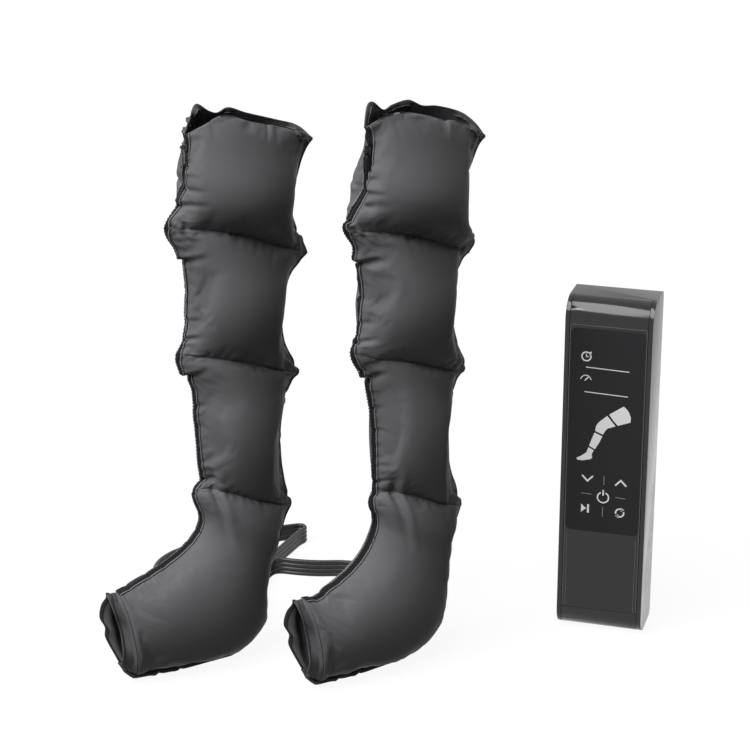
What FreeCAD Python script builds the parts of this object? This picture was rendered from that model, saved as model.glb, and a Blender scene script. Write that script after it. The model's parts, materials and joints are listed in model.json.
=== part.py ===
"""Pneumatic compression kit: a pump unit, two four-chamber leg sleeves and their ribbon hoses.

Millimetres, +Z up. The origin is the centre of the pump's base pad, on the surface it stands on,
and the pump's control panel faces -Y. A sleeve is built in its own frame, with +X from toe to heel,
+Y away from its outer side and +Z up, and is then placed beside the pump.
"""

import FreeCAD
import Part
import Sketcher
import math
import os
import re
from types import SimpleNamespace

Vector = FreeCAD.Vector

SIZES = {
    # Pump case: a bar with rounded front ends, a front cover between two cheeks, a glass face.
    "case_width": 127.0,
    "case_depth": 86.0,
    "case_top": 520.0,
    "case_bottom": 2.0,
    "nose_radius": 32.0,
    "back_radius": 11.0,
    "shell_wall": 3.0,
    "cheek_wall": 6.4,
    "front_wall": 5.0,
    "shut_line": 0.6,
    "fit_gap": 0.3,
    "face_thick": 2.0,
    "face_low": 39.0,
    "face_high": 485.0,
    "face_corner": 2.0,
    "label_width": 109.0,
    "label_tall": 315.0,
    "label_thick": 0.3,
    "label_corner": 8.8,
    "label_drop": 40.3,
    "pad_width": 94.0,
    "pad_gap": 1.0,
    "pad_margin": 13.0,
    "pad_inset": 1.6,
    "pad_corner": 8.0,
    # Screw posts that pull the front cover to the rear housing.
    "post_radius": 5.0,
    "post_inset": 16.0,
    "post_end": 22.0,
    "screw_radius": 1.95,
    "screw_head": 3.8,
    "head_tall": 2.6,
    "screw_long": 18.0,
    # Electronics.
    "board_thick": 1.6,
    "touch_width": 88.0,
    "display_width": 78.0,
    "display_low": 366.0,
    "display_high": 460.0,
    "main_width": 96.0,
    "main_low": 300.0,
    "main_high": 470.0,
    "standoff_long": 7.0,
    "standoff_radius": 3.5,
    "standoff_inset": 6.0,
    "buzzer_radius": 8.0,
    "buzzer_tall": 6.0,
    "sensor_side": 11.0,
    "sensor_tall": 5.5,
    "sensor_port": 1.7,
    # Air pump on the case's axis: head, diaphragm, wobble plate, crank and motor, upwards.
    "head_low": 38.0,
    "head_tall_z": 25.0,
    "head_radius": 23.0,
    "diaphragm_thick": 3.0,
    "wobble_thick": 4.0,
    "wobble_radius": 17.0,
    "crank_cup": 31.0,
    "cup_wall": 3.0,
    "crank_radius": 12.5,
    "crank_thick": 8.0,
    "crank_throw": 5.0,
    "crank_pin": 1.9,
    "motor_long": 72.0,
    "motor_radius": 22.5,
    "motor_chamfer": 2.3,
    "shaft_radius": 2.5,
    "run_clearance": 0.05,
    "damper_wall": 2.4,
    "cradle_width": 32.0,
    "cradle_tall": 52.0,
    "cradle_reach": 6.0,
    "strap_wall": 1.6,
    # Valve block, coils and plungers above the motor.
    "block_low": 205.0,
    "block_tall": 22.0,
    "block_width": 100.0,
    "block_thick": 49.0,
    "block_stand": 3.0,
    "coil_pitch": 25.0,
    "coil_side": 22.0,
    "coil_tall": 34.0,
    "coil_set": 25.0,
    "plunger_radius": 4.7,
    "plunger_long": 39.0,
    # Outlet block with two rows of four sockets, and the air tubes that feed it.
    "outlet_width": 72.0,
    "outlet_low": 38.0,
    "outlet_high": 88.0,
    "outlet_deep": 17.5,
    "socket_pitch": 9.5,
    "socket_radius": 2.6,
    "socket_deep": 10.0,
    "row_low": 50.0,
    "row_high": 74.0,
    "barb_radius": 2.4,
    "barb_long": 7.0,
    "tube_radius": 3.6,
    "tube_x_inner": 21.5,
    "tube_x_outer": 31.0,
    "tube_set": 10.0,
    "feed_x": 43.0,
    "feed_y": -1.0,
    "feed_bend": 12.0,
    "jack_width": 11.0,
    "jack_tall": 12.0,
    "jack_low": 13.0,
    "jack_deep": 16.0,
    "jack_bore": 3.0,
    "jack_pin": 1.05,
    "slot_width": 54.0,
    "slot_tall": 3.0,
    "slot_pitch": 8.0,
    "slot_first": 104.0,
    # Sleeve: each seam's front (shin) end and back (calf) end, as distances along X and Z.
    "rim_front_x": 2.0,
    "rim_front_z": 803.0,
    "rim_back_x": 197.0,
    "rim_back_z": 760.0,
    "top_front_x": 4.0,
    "top_front_z": 785.0,
    "top_back_x": 188.0,
    "top_back_z": 745.0,
    "thigh_front_x": -32.0,
    "thigh_front_z": 665.0,
    "thigh_back_x": 186.0,
    "thigh_back_z": 596.0,
    "knee_front_x": -23.0,
    "knee_front_z": 483.0,
    "knee_back_x": 169.0,
    "knee_back_z": 420.0,
    "calf_front_x": 10.0,
    "calf_front_z": 266.0,
    "calf_back_x": 154.0,
    "calf_back_z": 218.0,
    "toe_front_x": -129.0,
    "toe_front_z": 147.0,
    "toe_back_x": -93.0,
    "toe_back_z": 10.0,
    "heel_high_x": 142.0,
    "heel_high_z": 162.0,
    "heel_mid_x": 132.0,
    "heel_mid_z": 98.0,
    "heel_low_x": 110.0,
    "heel_low_z": 38.0,
    "arch_x": 48.0,
    "arch_z": 7.6,
    "ball_x": -22.0,
    "ball_z": 7.6,
    "rim_half": 31.0,
    "top_half": 29.0,
    "seam_half": 27.0,
    "thigh_half": 56.0,
    "knee_half": 54.0,
    "calf_half": 48.0,
    "ankle_half": 40.0,
    "foot_half": 54.0,
    "toe_half": 33.0,
    "thigh_waist": 17.0,
    "knee_waist": 24.0,
    "calf_waist": 18.0,
    "instep_waist": 15.0,
    "window_half": 18.0,
    "window_wall": 2.5,
    "weld_gap": 0.3,
    "channel_half": 20.0,
    "channel_edge": 17.0,
    "cuff_edge": 9.0,
    "cuff_half": 22.0,
    "binding_long": 8.0,
    "sole_thick": 4.0,
    "sole_half": 16.0,
    "sole_toe": -81.0,
    "sole_heel": 80.0,
    "tape_thick": 1.2,
    "tape_half": 13.0,
    "teeth_half": 2.5,
    "teeth_tall": 2.2,
    "slider_start": 12.0,
    "slider_long": 13.0,
    "slider_half": 4.8,
    "slider_plate": 1.6,
    "ear_thick": 1.2,
    "ear_half": 1.8,
    "ear_tall": 3.6,
    "bar_height": 2.7,
    "bar_radius": 0.9,
    "eye_radius": 2.2,
    "pull_half": 1.5,
    "tab_half": 3.6,
    "tab_long": 25.0,
    "tab_thick": 1.4,
    "gland_low": 0.5,
    "gland_high": 31.0,
    "gland_half": 9.0,
    "gland_inner": 18.0,
    "gland_outer": 66.0,
    "left_gland_x": 15.0,
    "right_gland_x": 60.0,
    # Ribbon hose of four joined air tubes, standing on its edge, and its connector.
    "ribbon_tall": 28.0,
    "ribbon_thick": 7.0,
    "ribbon_low": 0.5,
    "left_coil_radius": 56.0,
    "left_coil_hole": 26.0,
    "right_coil_radius": 57.0,
    "right_coil_hole": 20.0,
    "plug_long": 22.0,
    "plug_thick": 12.0,
    "plug_tall": 38.0,
    "plug_corner": 3.0,
    "nipple_radius": 2.5,
    "nipple_long": 7.0,
    "tail_long": 8.0,
}

# Where each sleeve stands: the floor point under its frame's origin, and its turn about Z.
LEFT_PLACE = (-536.7, -304.0, 48.3)
RIGHT_PLACE = (-287.6, -243.5, 53.3)

# The ribbon hoses' routes over the floor, as chosen points, from the gland to the coil.
LEFT_ROUTE = [
    (-576.1, -248.8), (-601.0, -226.5), (-634.0, -192.0), (-664.0, -147.0), (-692.0, -95.0),
    (-707.0, -41.0), (-693.0, 11.0), (-658.0, 55.0), (-617.0, 95.0), (-578.0, 130.0),
    (-548.0, 152.0), (-531.0, 162.0), (-521.0, 150.0), (-528.0, 133.0), (-531.0, 107.0),
    (-536.0, 73.0), (-541.0, 31.0), (-561.0, -15.0), (-585.2, -64.2),
]
RIGHT_ROUTE = [
    (-304.7, -155.9), (-328.0, -138.5), (-346.0, -108.0), (-353.0, -67.0), (-358.0, -24.0),
    (-370.0, 17.0), (-394.0, 43.0), (-425.0, 42.0), (-458.0, 30.0), (-494.0, 24.0),
    (-530.0, 24.0), (-536.0, 0.0), (-533.0, -38.0), (-525.0, -87.0), (-507.8, -136.2),
]
LEFT_COIL = (-636.9, -40.6)
RIGHT_COIL = (-561.6, -154.6)

DOC = FreeCAD.newDocument("compression_kit")
SHEET = DOC.addObject("Spreadsheet::Sheet", "sizes")
ALIAS = re.compile(r"\b(" + "|".join(sorted(SIZES, key=len, reverse=True)) + r")\b")
PARTS = {}


def fill_sheet():
    """Write every driving dimension into the sheet and return them as named values."""
    for row, (alias, value) in enumerate(SIZES.items(), start=1):
        SHEET.set(f"A{row}", alias)
        SHEET.set(f"B{row}", str(value))
        SHEET.setAlias(f"B{row}", alias)
    DOC.recompute()
    return SimpleNamespace(**{alias: float(SHEET.get(alias)) for alias in SIZES})


S = fill_sheet()


def bind(obj, prop, text):
    """Bind one property to an expression of the sheet's aliases."""
    obj.setExpression(prop, ALIAS.sub(r"sizes.\1", str(text)))


def bind_base(obj, place):
    """Bind an object's position to three expressions."""
    for axis, text in zip("xyz", place):
        bind(obj, f"Placement.Base.{axis}", text)


def block(name, xs, ys, zs):
    """Box between two expressions along each axis."""
    box = DOC.addObject("Part::Box", name)
    for prop, span in zip(("Length", "Width", "Height"), (xs, ys, zs)):
        bind(box, prop, f"({span[1]}) - ({span[0]})")
    bind_base(box, (xs[0], ys[0], zs[0]))
    return box


AXIS_TURNS = {
    "x": FreeCAD.Rotation(Vector(0, 1, 0), 90),
    "y": FreeCAD.Rotation(Vector(1, 0, 0), -90),
    "z": FreeCAD.Rotation(),
}


def rod(name, axis, radius, long, place):
    """Cylinder along an axis from its foot point."""
    cylinder = DOC.addObject("Part::Cylinder", name)
    cylinder.Placement = FreeCAD.Placement(Vector(), AXIS_TURNS[axis])
    bind(cylinder, "Radius", radius)
    bind(cylinder, "Height", long)
    bind_base(cylinder, place)
    return cylinder


def join(name, pieces):
    """Boolean sum of several pieces."""
    fuse = DOC.addObject("Part::MultiFuse", name)
    fuse.Shapes = list(pieces)
    return fuse


def cut(name, base, tools):
    """Base with every tool taken away."""
    result = DOC.addObject("Part::Cut", name)
    result.Base = base
    result.Tool = tools[0] if len(tools) == 1 else join(f"{name}_tools", tools)
    return result


def group(name, pieces):
    """Separate solids that share one node, such as identical fasteners."""
    compound = DOC.addObject("Part::Compound", name)
    compound.Links = list(pieces)
    return compound


def round_edges(name, base, radius, chosen):
    """Fillet of the edges whose middle point the test picks."""
    DOC.recompute()
    fillet = DOC.addObject("Part::Fillet", name)
    fillet.Base = base
    fillet.Edges = [
        (number, radius, radius)
        for number, edge in enumerate(base.Shape.Edges, start=1)
        if chosen(edge.CenterOfMass, edge)
    ]
    return fillet


def along(edge, axis):
    """Whether a straight edge runs along an axis."""
    run = edge.Vertexes[-1].Point - edge.Vertexes[0].Point
    return run.Length > 0 and abs(run.normalize().dot(axis)) > 0.999


def keep(obj, label):
    """Register a finished sub-part under the name of its file."""
    obj.Label = label
    PARTS[label] = obj
    return obj


def keep_shape(label, shape, placement=None):
    """Register a shape made with Part's own functions."""
    feature = DOC.addObject("Part::Feature", f"{label}_solid")
    feature.Shape = shape
    if placement is not None:
        feature.Placement = placement
    return keep(feature, label)


# ---------------------------------------------------------------- sketch-based bodies

def origin_plane(body, role):
    """The body's own origin plane, found by its role."""
    return next(feature for feature in body.Origin.OriginFeatures if feature.Role == role)


def rectangle(body, name, role, lift, xs, ys):
    """Rectangular sketch on an origin plane, its sides held at four expressions."""
    sketch = body.newObject("Sketcher::SketchObject", name)
    sketch.AttachmentSupport = [(origin_plane(body, role), "")]
    sketch.MapMode = "FlatFace"
    bind(sketch, "AttachmentOffset.Base.z", lift)
    corners = [Vector(-1, -1, 0), Vector(1, -1, 0), Vector(1, 1, 0), Vector(-1, 1, 0)]
    for number in range(4):
        sketch.addGeometry(Part.LineSegment(corners[number], corners[(number + 1) % 4]))
    for number in range(4):
        sketch.addConstraint(Sketcher.Constraint("Coincident", number, 2, (number + 1) % 4, 1))
    for number in range(4):
        kind = "Horizontal" if number % 2 == 0 else "Vertical"
        sketch.addConstraint(Sketcher.Constraint(kind, number))
    holds = (
        ("DistanceX", 1, xs[0]), ("DistanceX", 2, xs[1]), ("DistanceY", 1, ys[0]), ("DistanceY", 2, ys[1]))
    for number, (kind, point, text) in enumerate(holds):
        line = 0 if kind == "DistanceX" else 1
        start = -1.0 if number % 2 == 0 else 1.0
        index = sketch.addConstraint(Sketcher.Constraint(kind, -1, 1, line, point, start))
        sketch.renameConstraint(index, f"hold{number}")
        bind(sketch, f"Constraints.hold{number}", text)
    return sketch


def pad_body(name, role, lift, xs, ys, long, reversed_way=False):
    """Body with one rectangular pad."""
    body = DOC.addObject("PartDesign::Body", name)
    sketch = rectangle(body, f"{name}_outline", role, lift, xs, ys)
    pad = body.newObject("PartDesign::Pad", f"{name}_pad")
    pad.Profile = sketch
    pad.Reversed = reversed_way
    bind(pad, "Length", long)
    return body, pad


def dress_corners(body, feature, name, radius, axis):
    """Fillet every edge of a feature that runs along an axis."""
    DOC.recompute()
    edges = [
        f"Edge{number}"
        for number, edge in enumerate(feature.Shape.Edges, start=1)
        if along(edge, axis)
    ]
    fillet = body.newObject("PartDesign::Fillet", name)
    fillet.Base = (feature, edges)
    bind(fillet, "Radius", radius)
    return fillet


# ---------------------------------------------------------------- pump case

X_AXIS = Vector(1, 0, 0)
Y_AXIS = Vector(0, 1, 0)
Z_AXIS = Vector(0, 0, 1)
COVER_EDGE = "nose_radius - case_depth / 2"
COVER_HALF = "case_width / 2 - cheek_wall - shut_line"
CAVITY_BACK = "case_depth / 2 - shell_wall"
PAD_FRONT = f"{COVER_EDGE} + pad_gap"
PAD_BACK = "case_depth / 2 - pad_margin"
POST_X = "case_width / 2 - post_inset"
POST_ZS = ("post_end", "case_top - post_end")


def rounded_bar(name, half_width, front, low, high, radius):
    """Bar across the case with its two front ends rounded."""
    bar = block(name, (f"-({half_width})", half_width), (front, "case_depth / 2"), (low, high))
    front_y = S.case_depth / 2

    def front_edge(middle, edge):
        return along(edge, X_AXIS) and middle.y < -front_y / 2

    return round_edges(f"{name}_rounded", bar, radius, front_edge)


def rear_housing():
    """Back shell with both cheeks, its standoffs, windows, vents and screw holes."""
    outer = rounded_bar(
        "rear_bar", "case_width / 2", "-case_depth / 2", "case_bottom", "case_top", S.nose_radius)

    def back_edge(middle, edge):
        return along(edge, X_AXIS) and middle.y > S.case_depth / 2 - 0.5

    shell = round_edges("rear_back_rounded", outer, S.back_radius, back_edge)
    inner_half = "case_width / 2 - cheek_wall"
    hollow = block(
        "rear_hollow", (f"-({inner_half})", inner_half), (f"{COVER_EDGE} - 1", CAVITY_BACK),
        ("case_bottom + shell_wall", "case_top - shell_wall"))
    inner_round = max(S.back_radius - S.shell_wall, 0.5)

    def hollow_back(middle, edge):
        return along(edge, X_AXIS) and middle.y > 0

    hollow = round_edges("rear_hollow_rounded", hollow, inner_round, hollow_back)
    bay = block(
        "cover_bay", (f"-({inner_half})", inner_half), ("-case_depth / 2 - 1", COVER_EDGE),
        ("case_bottom - 1", "case_top + 1"))
    pad_bay = block(
        "pad_bay", ("-pad_width / 2 - shut_line", "pad_width / 2 + shut_line"),
        (f"{PAD_FRONT} - shut_line", f"{PAD_BACK} + shut_line"), ("case_bottom - 1", "case_bottom + pad_inset"))
    outlet_window = block(
        "outlet_window", ("-outlet_width / 2 - fit_gap", "outlet_width / 2 + fit_gap"),
        (f"{CAVITY_BACK} - 1", "case_depth / 2 + 1"), ("outlet_low - fit_gap", "outlet_high + fit_gap"))
    jack_window = block(
        "jack_window", ("-jack_width / 2 - fit_gap", "jack_width / 2 + fit_gap"),
        (f"{CAVITY_BACK} - 1", "case_depth / 2 + 1"),
        ("jack_low - fit_gap", "jack_low + jack_tall + fit_gap"))
    slots = [
        block(
            f"vent_slot_{number}", ("-slot_width / 2", "slot_width / 2"),
            (f"{CAVITY_BACK} - 1", "case_depth / 2 + 1"),
            (f"slot_first + {number} * slot_pitch", f"slot_first + {number} * slot_pitch + slot_tall"))
        for number in range(6)
    ]
    holes = []
    for number, (side, level) in enumerate([(s, z) for s in ("-", "") for z in POST_ZS]):
        place_x = f"{side}({POST_X})"
        holes.append(rod(
            f"screw_hole_{number}", "y", "screw_radius + fit_gap", "shell_wall + 2",
            (place_x, f"{CAVITY_BACK} - 1", level)))
        holes.append(rod(
            f"head_pocket_{number}", "y", "screw_head + fit_gap", "head_tall",
            (place_x, "case_depth / 2 - head_tall + 0.6", level)))
    standoffs = [
        rod(
            f"standoff_{number}", "y", "standoff_radius", "standoff_long + 0.5",
            (f"{side}(main_width / 2 - standoff_inset)", f"{CAVITY_BACK} - standoff_long", level))
        for number, (side, level) in enumerate(
            (s, z) for s in ("-", "") for z in ("main_low + standoff_inset", "main_high - standoff_inset"))
    ]
    hollowed = cut("rear_hollowed", shell, [hollow, bay, pad_bay])
    with_standoffs = join("rear_with_standoffs", [hollowed] + standoffs)
    openings = [outlet_window, jack_window] + slots + holes
    keep(cut("rear_housing_cut", with_standoffs, openings), "rear_housing")


def front_cover():
    """Front wall and both rounded ends, stepped for the face plate, with four screw posts."""
    outer = rounded_bar("cover_bar", COVER_HALF, "-case_depth / 2", "case_bottom", "case_top", S.nose_radius)
    trim = block(
        "cover_trim", ("-case_width", "case_width"), (f"{COVER_EDGE} - fit_gap", "case_depth"),
        ("case_bottom - 1", "case_top + 1"))
    hollow = block(
        "cover_hollow", ("-case_width", "case_width"), ("-case_depth / 2 + front_wall", "case_depth"),
        ("case_bottom + shell_wall", "case_top - shell_wall"))

    def hollow_front(middle, edge):
        return along(edge, X_AXIS) and middle.y < 0

    hollow = round_edges("cover_hollow_rounded", hollow, S.nose_radius - S.front_wall, hollow_front)
    step = block(
        "face_step", ("-case_width", "case_width"), ("-case_depth", "face_thick - case_depth / 2"),
        ("face_low - fit_gap", "face_high + fit_gap"))
    window = block(
        "display_window", ("-display_width / 2 - fit_gap", "display_width / 2 + fit_gap"),
        ("-case_depth", "0"), ("display_low - fit_gap", "display_high + fit_gap"))
    posts = []
    pilots = []
    for number, (side, level) in enumerate([(s, z) for s in ("-", "") for z in POST_ZS]):
        place = (f"{side}({POST_X})", "-case_depth / 2 + front_wall - 0.5", level)
        posts.append(rod(
            f"post_{number}", "y", "post_radius",
            "case_depth - front_wall - shell_wall - fit_gap + 0.5", place))
        pilots.append(rod(
            f"pilot_{number}", "y", "screw_radius + run_clearance", "screw_long",
            (place[0], f"{CAVITY_BACK} - screw_long + 0.5", level)))
    shell = cut("cover_shell", outer, [trim, hollow])
    with_posts = join("cover_with_posts", [shell] + posts)
    keep(cut("front_cover_cut", with_posts, [step, window] + pilots), "front_cover")


def face_and_label():
    """Glass face plate in the cover's step, and the matte touch label on it."""
    body, pad = pad_body(
        "face_plate_body", "XZ_Plane", "case_depth / 2 - face_thick", (f"-({COVER_HALF})", COVER_HALF),
        ("face_low", "face_high"), "face_thick")
    dress_corners(body, pad, "face_corners", "face_corner", Y_AXIS)
    keep(body, "face_plate")
    body, pad = pad_body(
        "touch_label_body", "XZ_Plane", "case_depth / 2", ("-label_width / 2", "label_width / 2"),
        ("case_top - label_drop - label_tall", "case_top - label_drop"), "label_thick")
    dress_corners(body, pad, "label_corners", "label_corner", Y_AXIS)
    keep(body, "touch_label")


def base_pad():
    """Rubber pad under the case, set into the rear housing's bottom."""
    body, pad = pad_body(
        "base_pad_body", "XY_Plane", "0", ("-pad_width / 2", "pad_width / 2"),
        (PAD_FRONT, PAD_BACK), "case_bottom + pad_inset")
    dress_corners(body, pad, "pad_corners", "pad_corner", Z_AXIS)
    keep(body, "base_pad")


def housing_screws():
    """Four pan-head screws from the back into the cover's posts."""
    screws = []
    for number, (side, level) in enumerate([(s, z) for s in ("-", "") for z in POST_ZS]):
        place_x = f"{side}({POST_X})"
        seat = "case_depth / 2 - head_tall + 0.6"
        head = rod(f"screw_cap_{number}", "y", "screw_head", "head_tall - 0.6", (place_x, seat, level))
        shank = rod(
            f"screw_shank_{number}", "y", "screw_radius", "screw_long - 2",
            (place_x, f"{seat} - screw_long + 2", level))
        screws.append(join(f"screw_{number}", [head, shank]))
    keep(group("housing_screws_group", screws), "housing_screws")


# ---------------------------------------------------------------- electronics

BOARD_FRONT = "-case_depth / 2 + front_wall + fit_gap"
MAIN_BACK = "case_depth / 2 - shell_wall - standoff_long - fit_gap"


def electronics():
    """Touch board, display, main board on its standoffs, buzzer and pressure sensors."""
    body, _ = pad_body(
        "touch_board_body", "XZ_Plane", "case_depth / 2 - front_wall - fit_gap - board_thick",
        ("-touch_width / 2", "touch_width / 2"),
        ("case_top - label_drop - label_tall", "case_top - label_drop"), "board_thick")
    keep(body, "touch_board")
    keep(block(
        "display_block", ("-display_width / 2", "display_width / 2"),
        ("-case_depth / 2 + face_thick + fit_gap", BOARD_FRONT), ("display_low", "display_high")),
        "display_module")
    body, _ = pad_body(
        "main_board_body", "XZ_Plane", f"-({MAIN_BACK})", ("-main_width / 2", "main_width / 2"),
        ("main_low", "main_high"), "board_thick")
    keep(body, "main_board")
    board_face = f"{MAIN_BACK} - board_thick"
    keep(rod(
        "buzzer_can", "y", "buzzer_radius", "buzzer_tall",
        ("-main_width / 4", f"{board_face} - buzzer_tall", "main_high - 20")), "buzzer")
    sensors = []
    for number, side in enumerate(("-", "")):
        centre = f"{side}(main_width / 5)"
        box = block(
            f"sensor_box_{number}", (f"{centre} - sensor_side / 2", f"{centre} + sensor_side / 2"),
            (f"{board_face} - sensor_tall", board_face), ("main_low + 14", "main_low + 14 + sensor_side"))
        port = rod(
            f"sensor_port_{number}", "y", "sensor_port", "sensor_tall",
            (centre, f"{board_face} - 2 * sensor_tall + 0.5", "main_low + 14 + sensor_side / 2"))
        sensors.append(join(f"sensor_{number}", [box, port]))
    keep(group("pressure_sensors_group", sensors), "pressure_sensors")


# ---------------------------------------------------------------- air pump

HEAD_TOP = "head_low + head_tall_z"
WOBBLE_LOW = f"{HEAD_TOP} + diaphragm_thick"
CUP_LOW = HEAD_TOP
CUP_TOP = f"{HEAD_TOP} + crank_cup"
MOTOR_LOW = CUP_TOP
AXIS_XY = ("0", "feed_y")


def air_pump():
    """Diaphragm head, diaphragm, wobble plate, open crank cup, crank and motor on one axis."""
    centre = AXIS_XY
    head = rod("head_drum", "z", "head_radius", "head_tall_z - fit_gap", (*centre, "head_low"))
    nozzle = rod(
        "head_nozzle", "x", "barb_radius", "barb_long",
        ("head_radius - 0.5", "feed_y", "head_low + head_tall_z / 2"))
    inlet = rod("head_inlet", "z", "barb_radius", "2", (*centre, "head_low - 1.5"))
    groove = cut(
        "head_groove", rod("groove_outer", "z", "head_radius + 1", "1.6", (*centre, "head_low + 5")),
        [rod("groove_inner", "z", "head_radius - 1", "3", (*centre, "head_low + 4.5"))])
    keep(cut("pump_head_cut", join("head_with_ports", [head, nozzle, inlet]), [groove]), "pump_head")
    keep(rod("diaphragm_disc", "z", "wobble_radius + 1", "diaphragm_thick - fit_gap", (*centre, HEAD_TOP)),
         "diaphragm")
    plate = rod("wobble_disc", "z", "wobble_radius", "wobble_thick", (*centre, WOBBLE_LOW))
    keep(plate, "wobble_plate")
    cup = rod("cup_outer", "z", "head_radius", "crank_cup - fit_gap", (*centre, CUP_LOW))
    cup_bore = rod(
        "cup_bore", "z", "head_radius - cup_wall", "crank_cup - cup_wall", (*centre, f"{CUP_LOW} - 0.5"))
    shaft_hole = rod("shaft_hole", "z", "shaft_radius + run_clearance", "6", (*centre, f"{CUP_TOP} - 4"))
    side_window = block(
        "cup_window", ("-crank_radius", "crank_radius"), ("-case_depth / 2", "feed_y"),
        (f"{CUP_LOW} + 4", f"{CUP_TOP} - 5"))
    keep(cut("crank_cup_cut", cup, [cup_bore, shaft_hole, side_window]), "crank_cup")
    disc_low = f"{CUP_TOP} - cup_wall - crank_thick - 1"
    disc = rod("crank_disc", "z", "crank_radius", "crank_thick", (*centre, disc_low))
    shaft = rod("motor_shaft", "z", "shaft_radius", f"{MOTOR_LOW} + 8 - ({disc_low})", (*centre, disc_low))
    pin = rod(
        "crank_pin_rod", "z", "crank_pin", f"{disc_low} - ({WOBBLE_LOW}) - wobble_thick - fit_gap + 0.5",
        ("crank_throw", "feed_y", f"{WOBBLE_LOW} + wobble_thick + fit_gap"))
    flat = block(
        "crank_flat", ("-crank_radius - 1", "-crank_radius + 2.4"), ("-crank_radius * 2", "crank_radius * 2"),
        (disc_low, f"{disc_low} + crank_thick"))
    keep(cut("crank_cut", join("crank_sum", [disc, shaft, pin]), [flat]), "crank")
    can = rod("motor_drum", "z", "motor_radius", "motor_long", (*centre, MOTOR_LOW))

    def rim_edge(middle, edge):
        return edge.Curve.TypeId == "Part::GeomCircle"

    DOC.recompute()
    can_soft = round_edges("motor_can_rounded", can, S.motor_chamfer, rim_edge)
    bore = rod("motor_bore", "z", "shaft_radius + run_clearance", "10", (*centre, f"{MOTOR_LOW} - 1"))
    end_boss = rod("motor_boss", "z", "motor_radius / 3", "2.5", (*centre, f"{MOTOR_LOW} + motor_long - 0.5"))
    keep(cut("motor_cut", join("motor_sum", [can_soft, end_boss]), [bore]), "pump_motor")


def motor_mount():
    """Rubber sleeve round the motor, the cradle that carries it and the strap over it."""
    low = f"{MOTOR_LOW} + 6"
    centre = AXIS_XY
    outer = rod(
        "damper_outer", "z", "motor_radius + fit_gap + damper_wall", "cradle_tall + 2", (*centre, low))
    inner = rod("damper_inner", "z", "motor_radius + fit_gap", "cradle_tall + 4", (*centre, f"{low} - 1"))
    keep(cut("damper_cut", outer, [inner]), "motor_damper")
    cradle_low = f"{low} + 1"
    cradle = block(
        "cradle_block", ("-cradle_width / 2", "cradle_width / 2"),
        ("feed_y + motor_radius - cradle_reach", f"{CAVITY_BACK} - fit_gap"),
        (cradle_low, f"{cradle_low} + cradle_tall"))
    seat_radius = "motor_radius + damper_wall + 2 * fit_gap"
    seat = rod("cradle_seat", "z", seat_radius, "cradle_tall + 2", (*centre, f"{cradle_low} - 1"))
    relief = block(
        "cradle_relief", ("-cradle_width / 2 + 3", "cradle_width / 2 - 3"),
        ("feed_y + motor_radius + 7", "case_depth / 2"),
        (f"{cradle_low} + 4", f"{cradle_low} + cradle_tall - 4"))
    keep(cut("cradle_cut", cradle, [seat, relief]), "motor_cradle")
    ring = rod("strap_outer", "z", f"{seat_radius} + strap_wall", "8", (*centre, f"{cradle_low} + 13"))
    hole = rod("strap_inner", "z", seat_radius, "10", (*centre, f"{cradle_low} + 12"))
    gap = block(
        "strap_gap", ("-cradle_width / 2 - fit_gap", "cradle_width / 2 + fit_gap"),
        ("feed_y", "case_depth"), (f"{cradle_low} + 12", f"{cradle_low} + 22"))
    keep(cut("strap_cut", ring, [hole, gap]), "motor_strap")


# ---------------------------------------------------------------- valves and air paths

BLOCK_TOP = "block_low + block_tall"
BLOCK_BACK = f"{CAVITY_BACK} - block_stand"
BLOCK_FRONT = f"{BLOCK_BACK} - block_thick"
COIL_Y = f"{BLOCK_BACK} - coil_set"
TUBE_Y = "case_depth / 2 - tube_set"
COIL_XS = ("-1.5 * coil_pitch", "-0.5 * coil_pitch", "0.5 * coil_pitch", "1.5 * coil_pitch")
TUBE_XS = ("-tube_x_outer", "-tube_x_inner", "tube_x_inner", "tube_x_outer")


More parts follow.
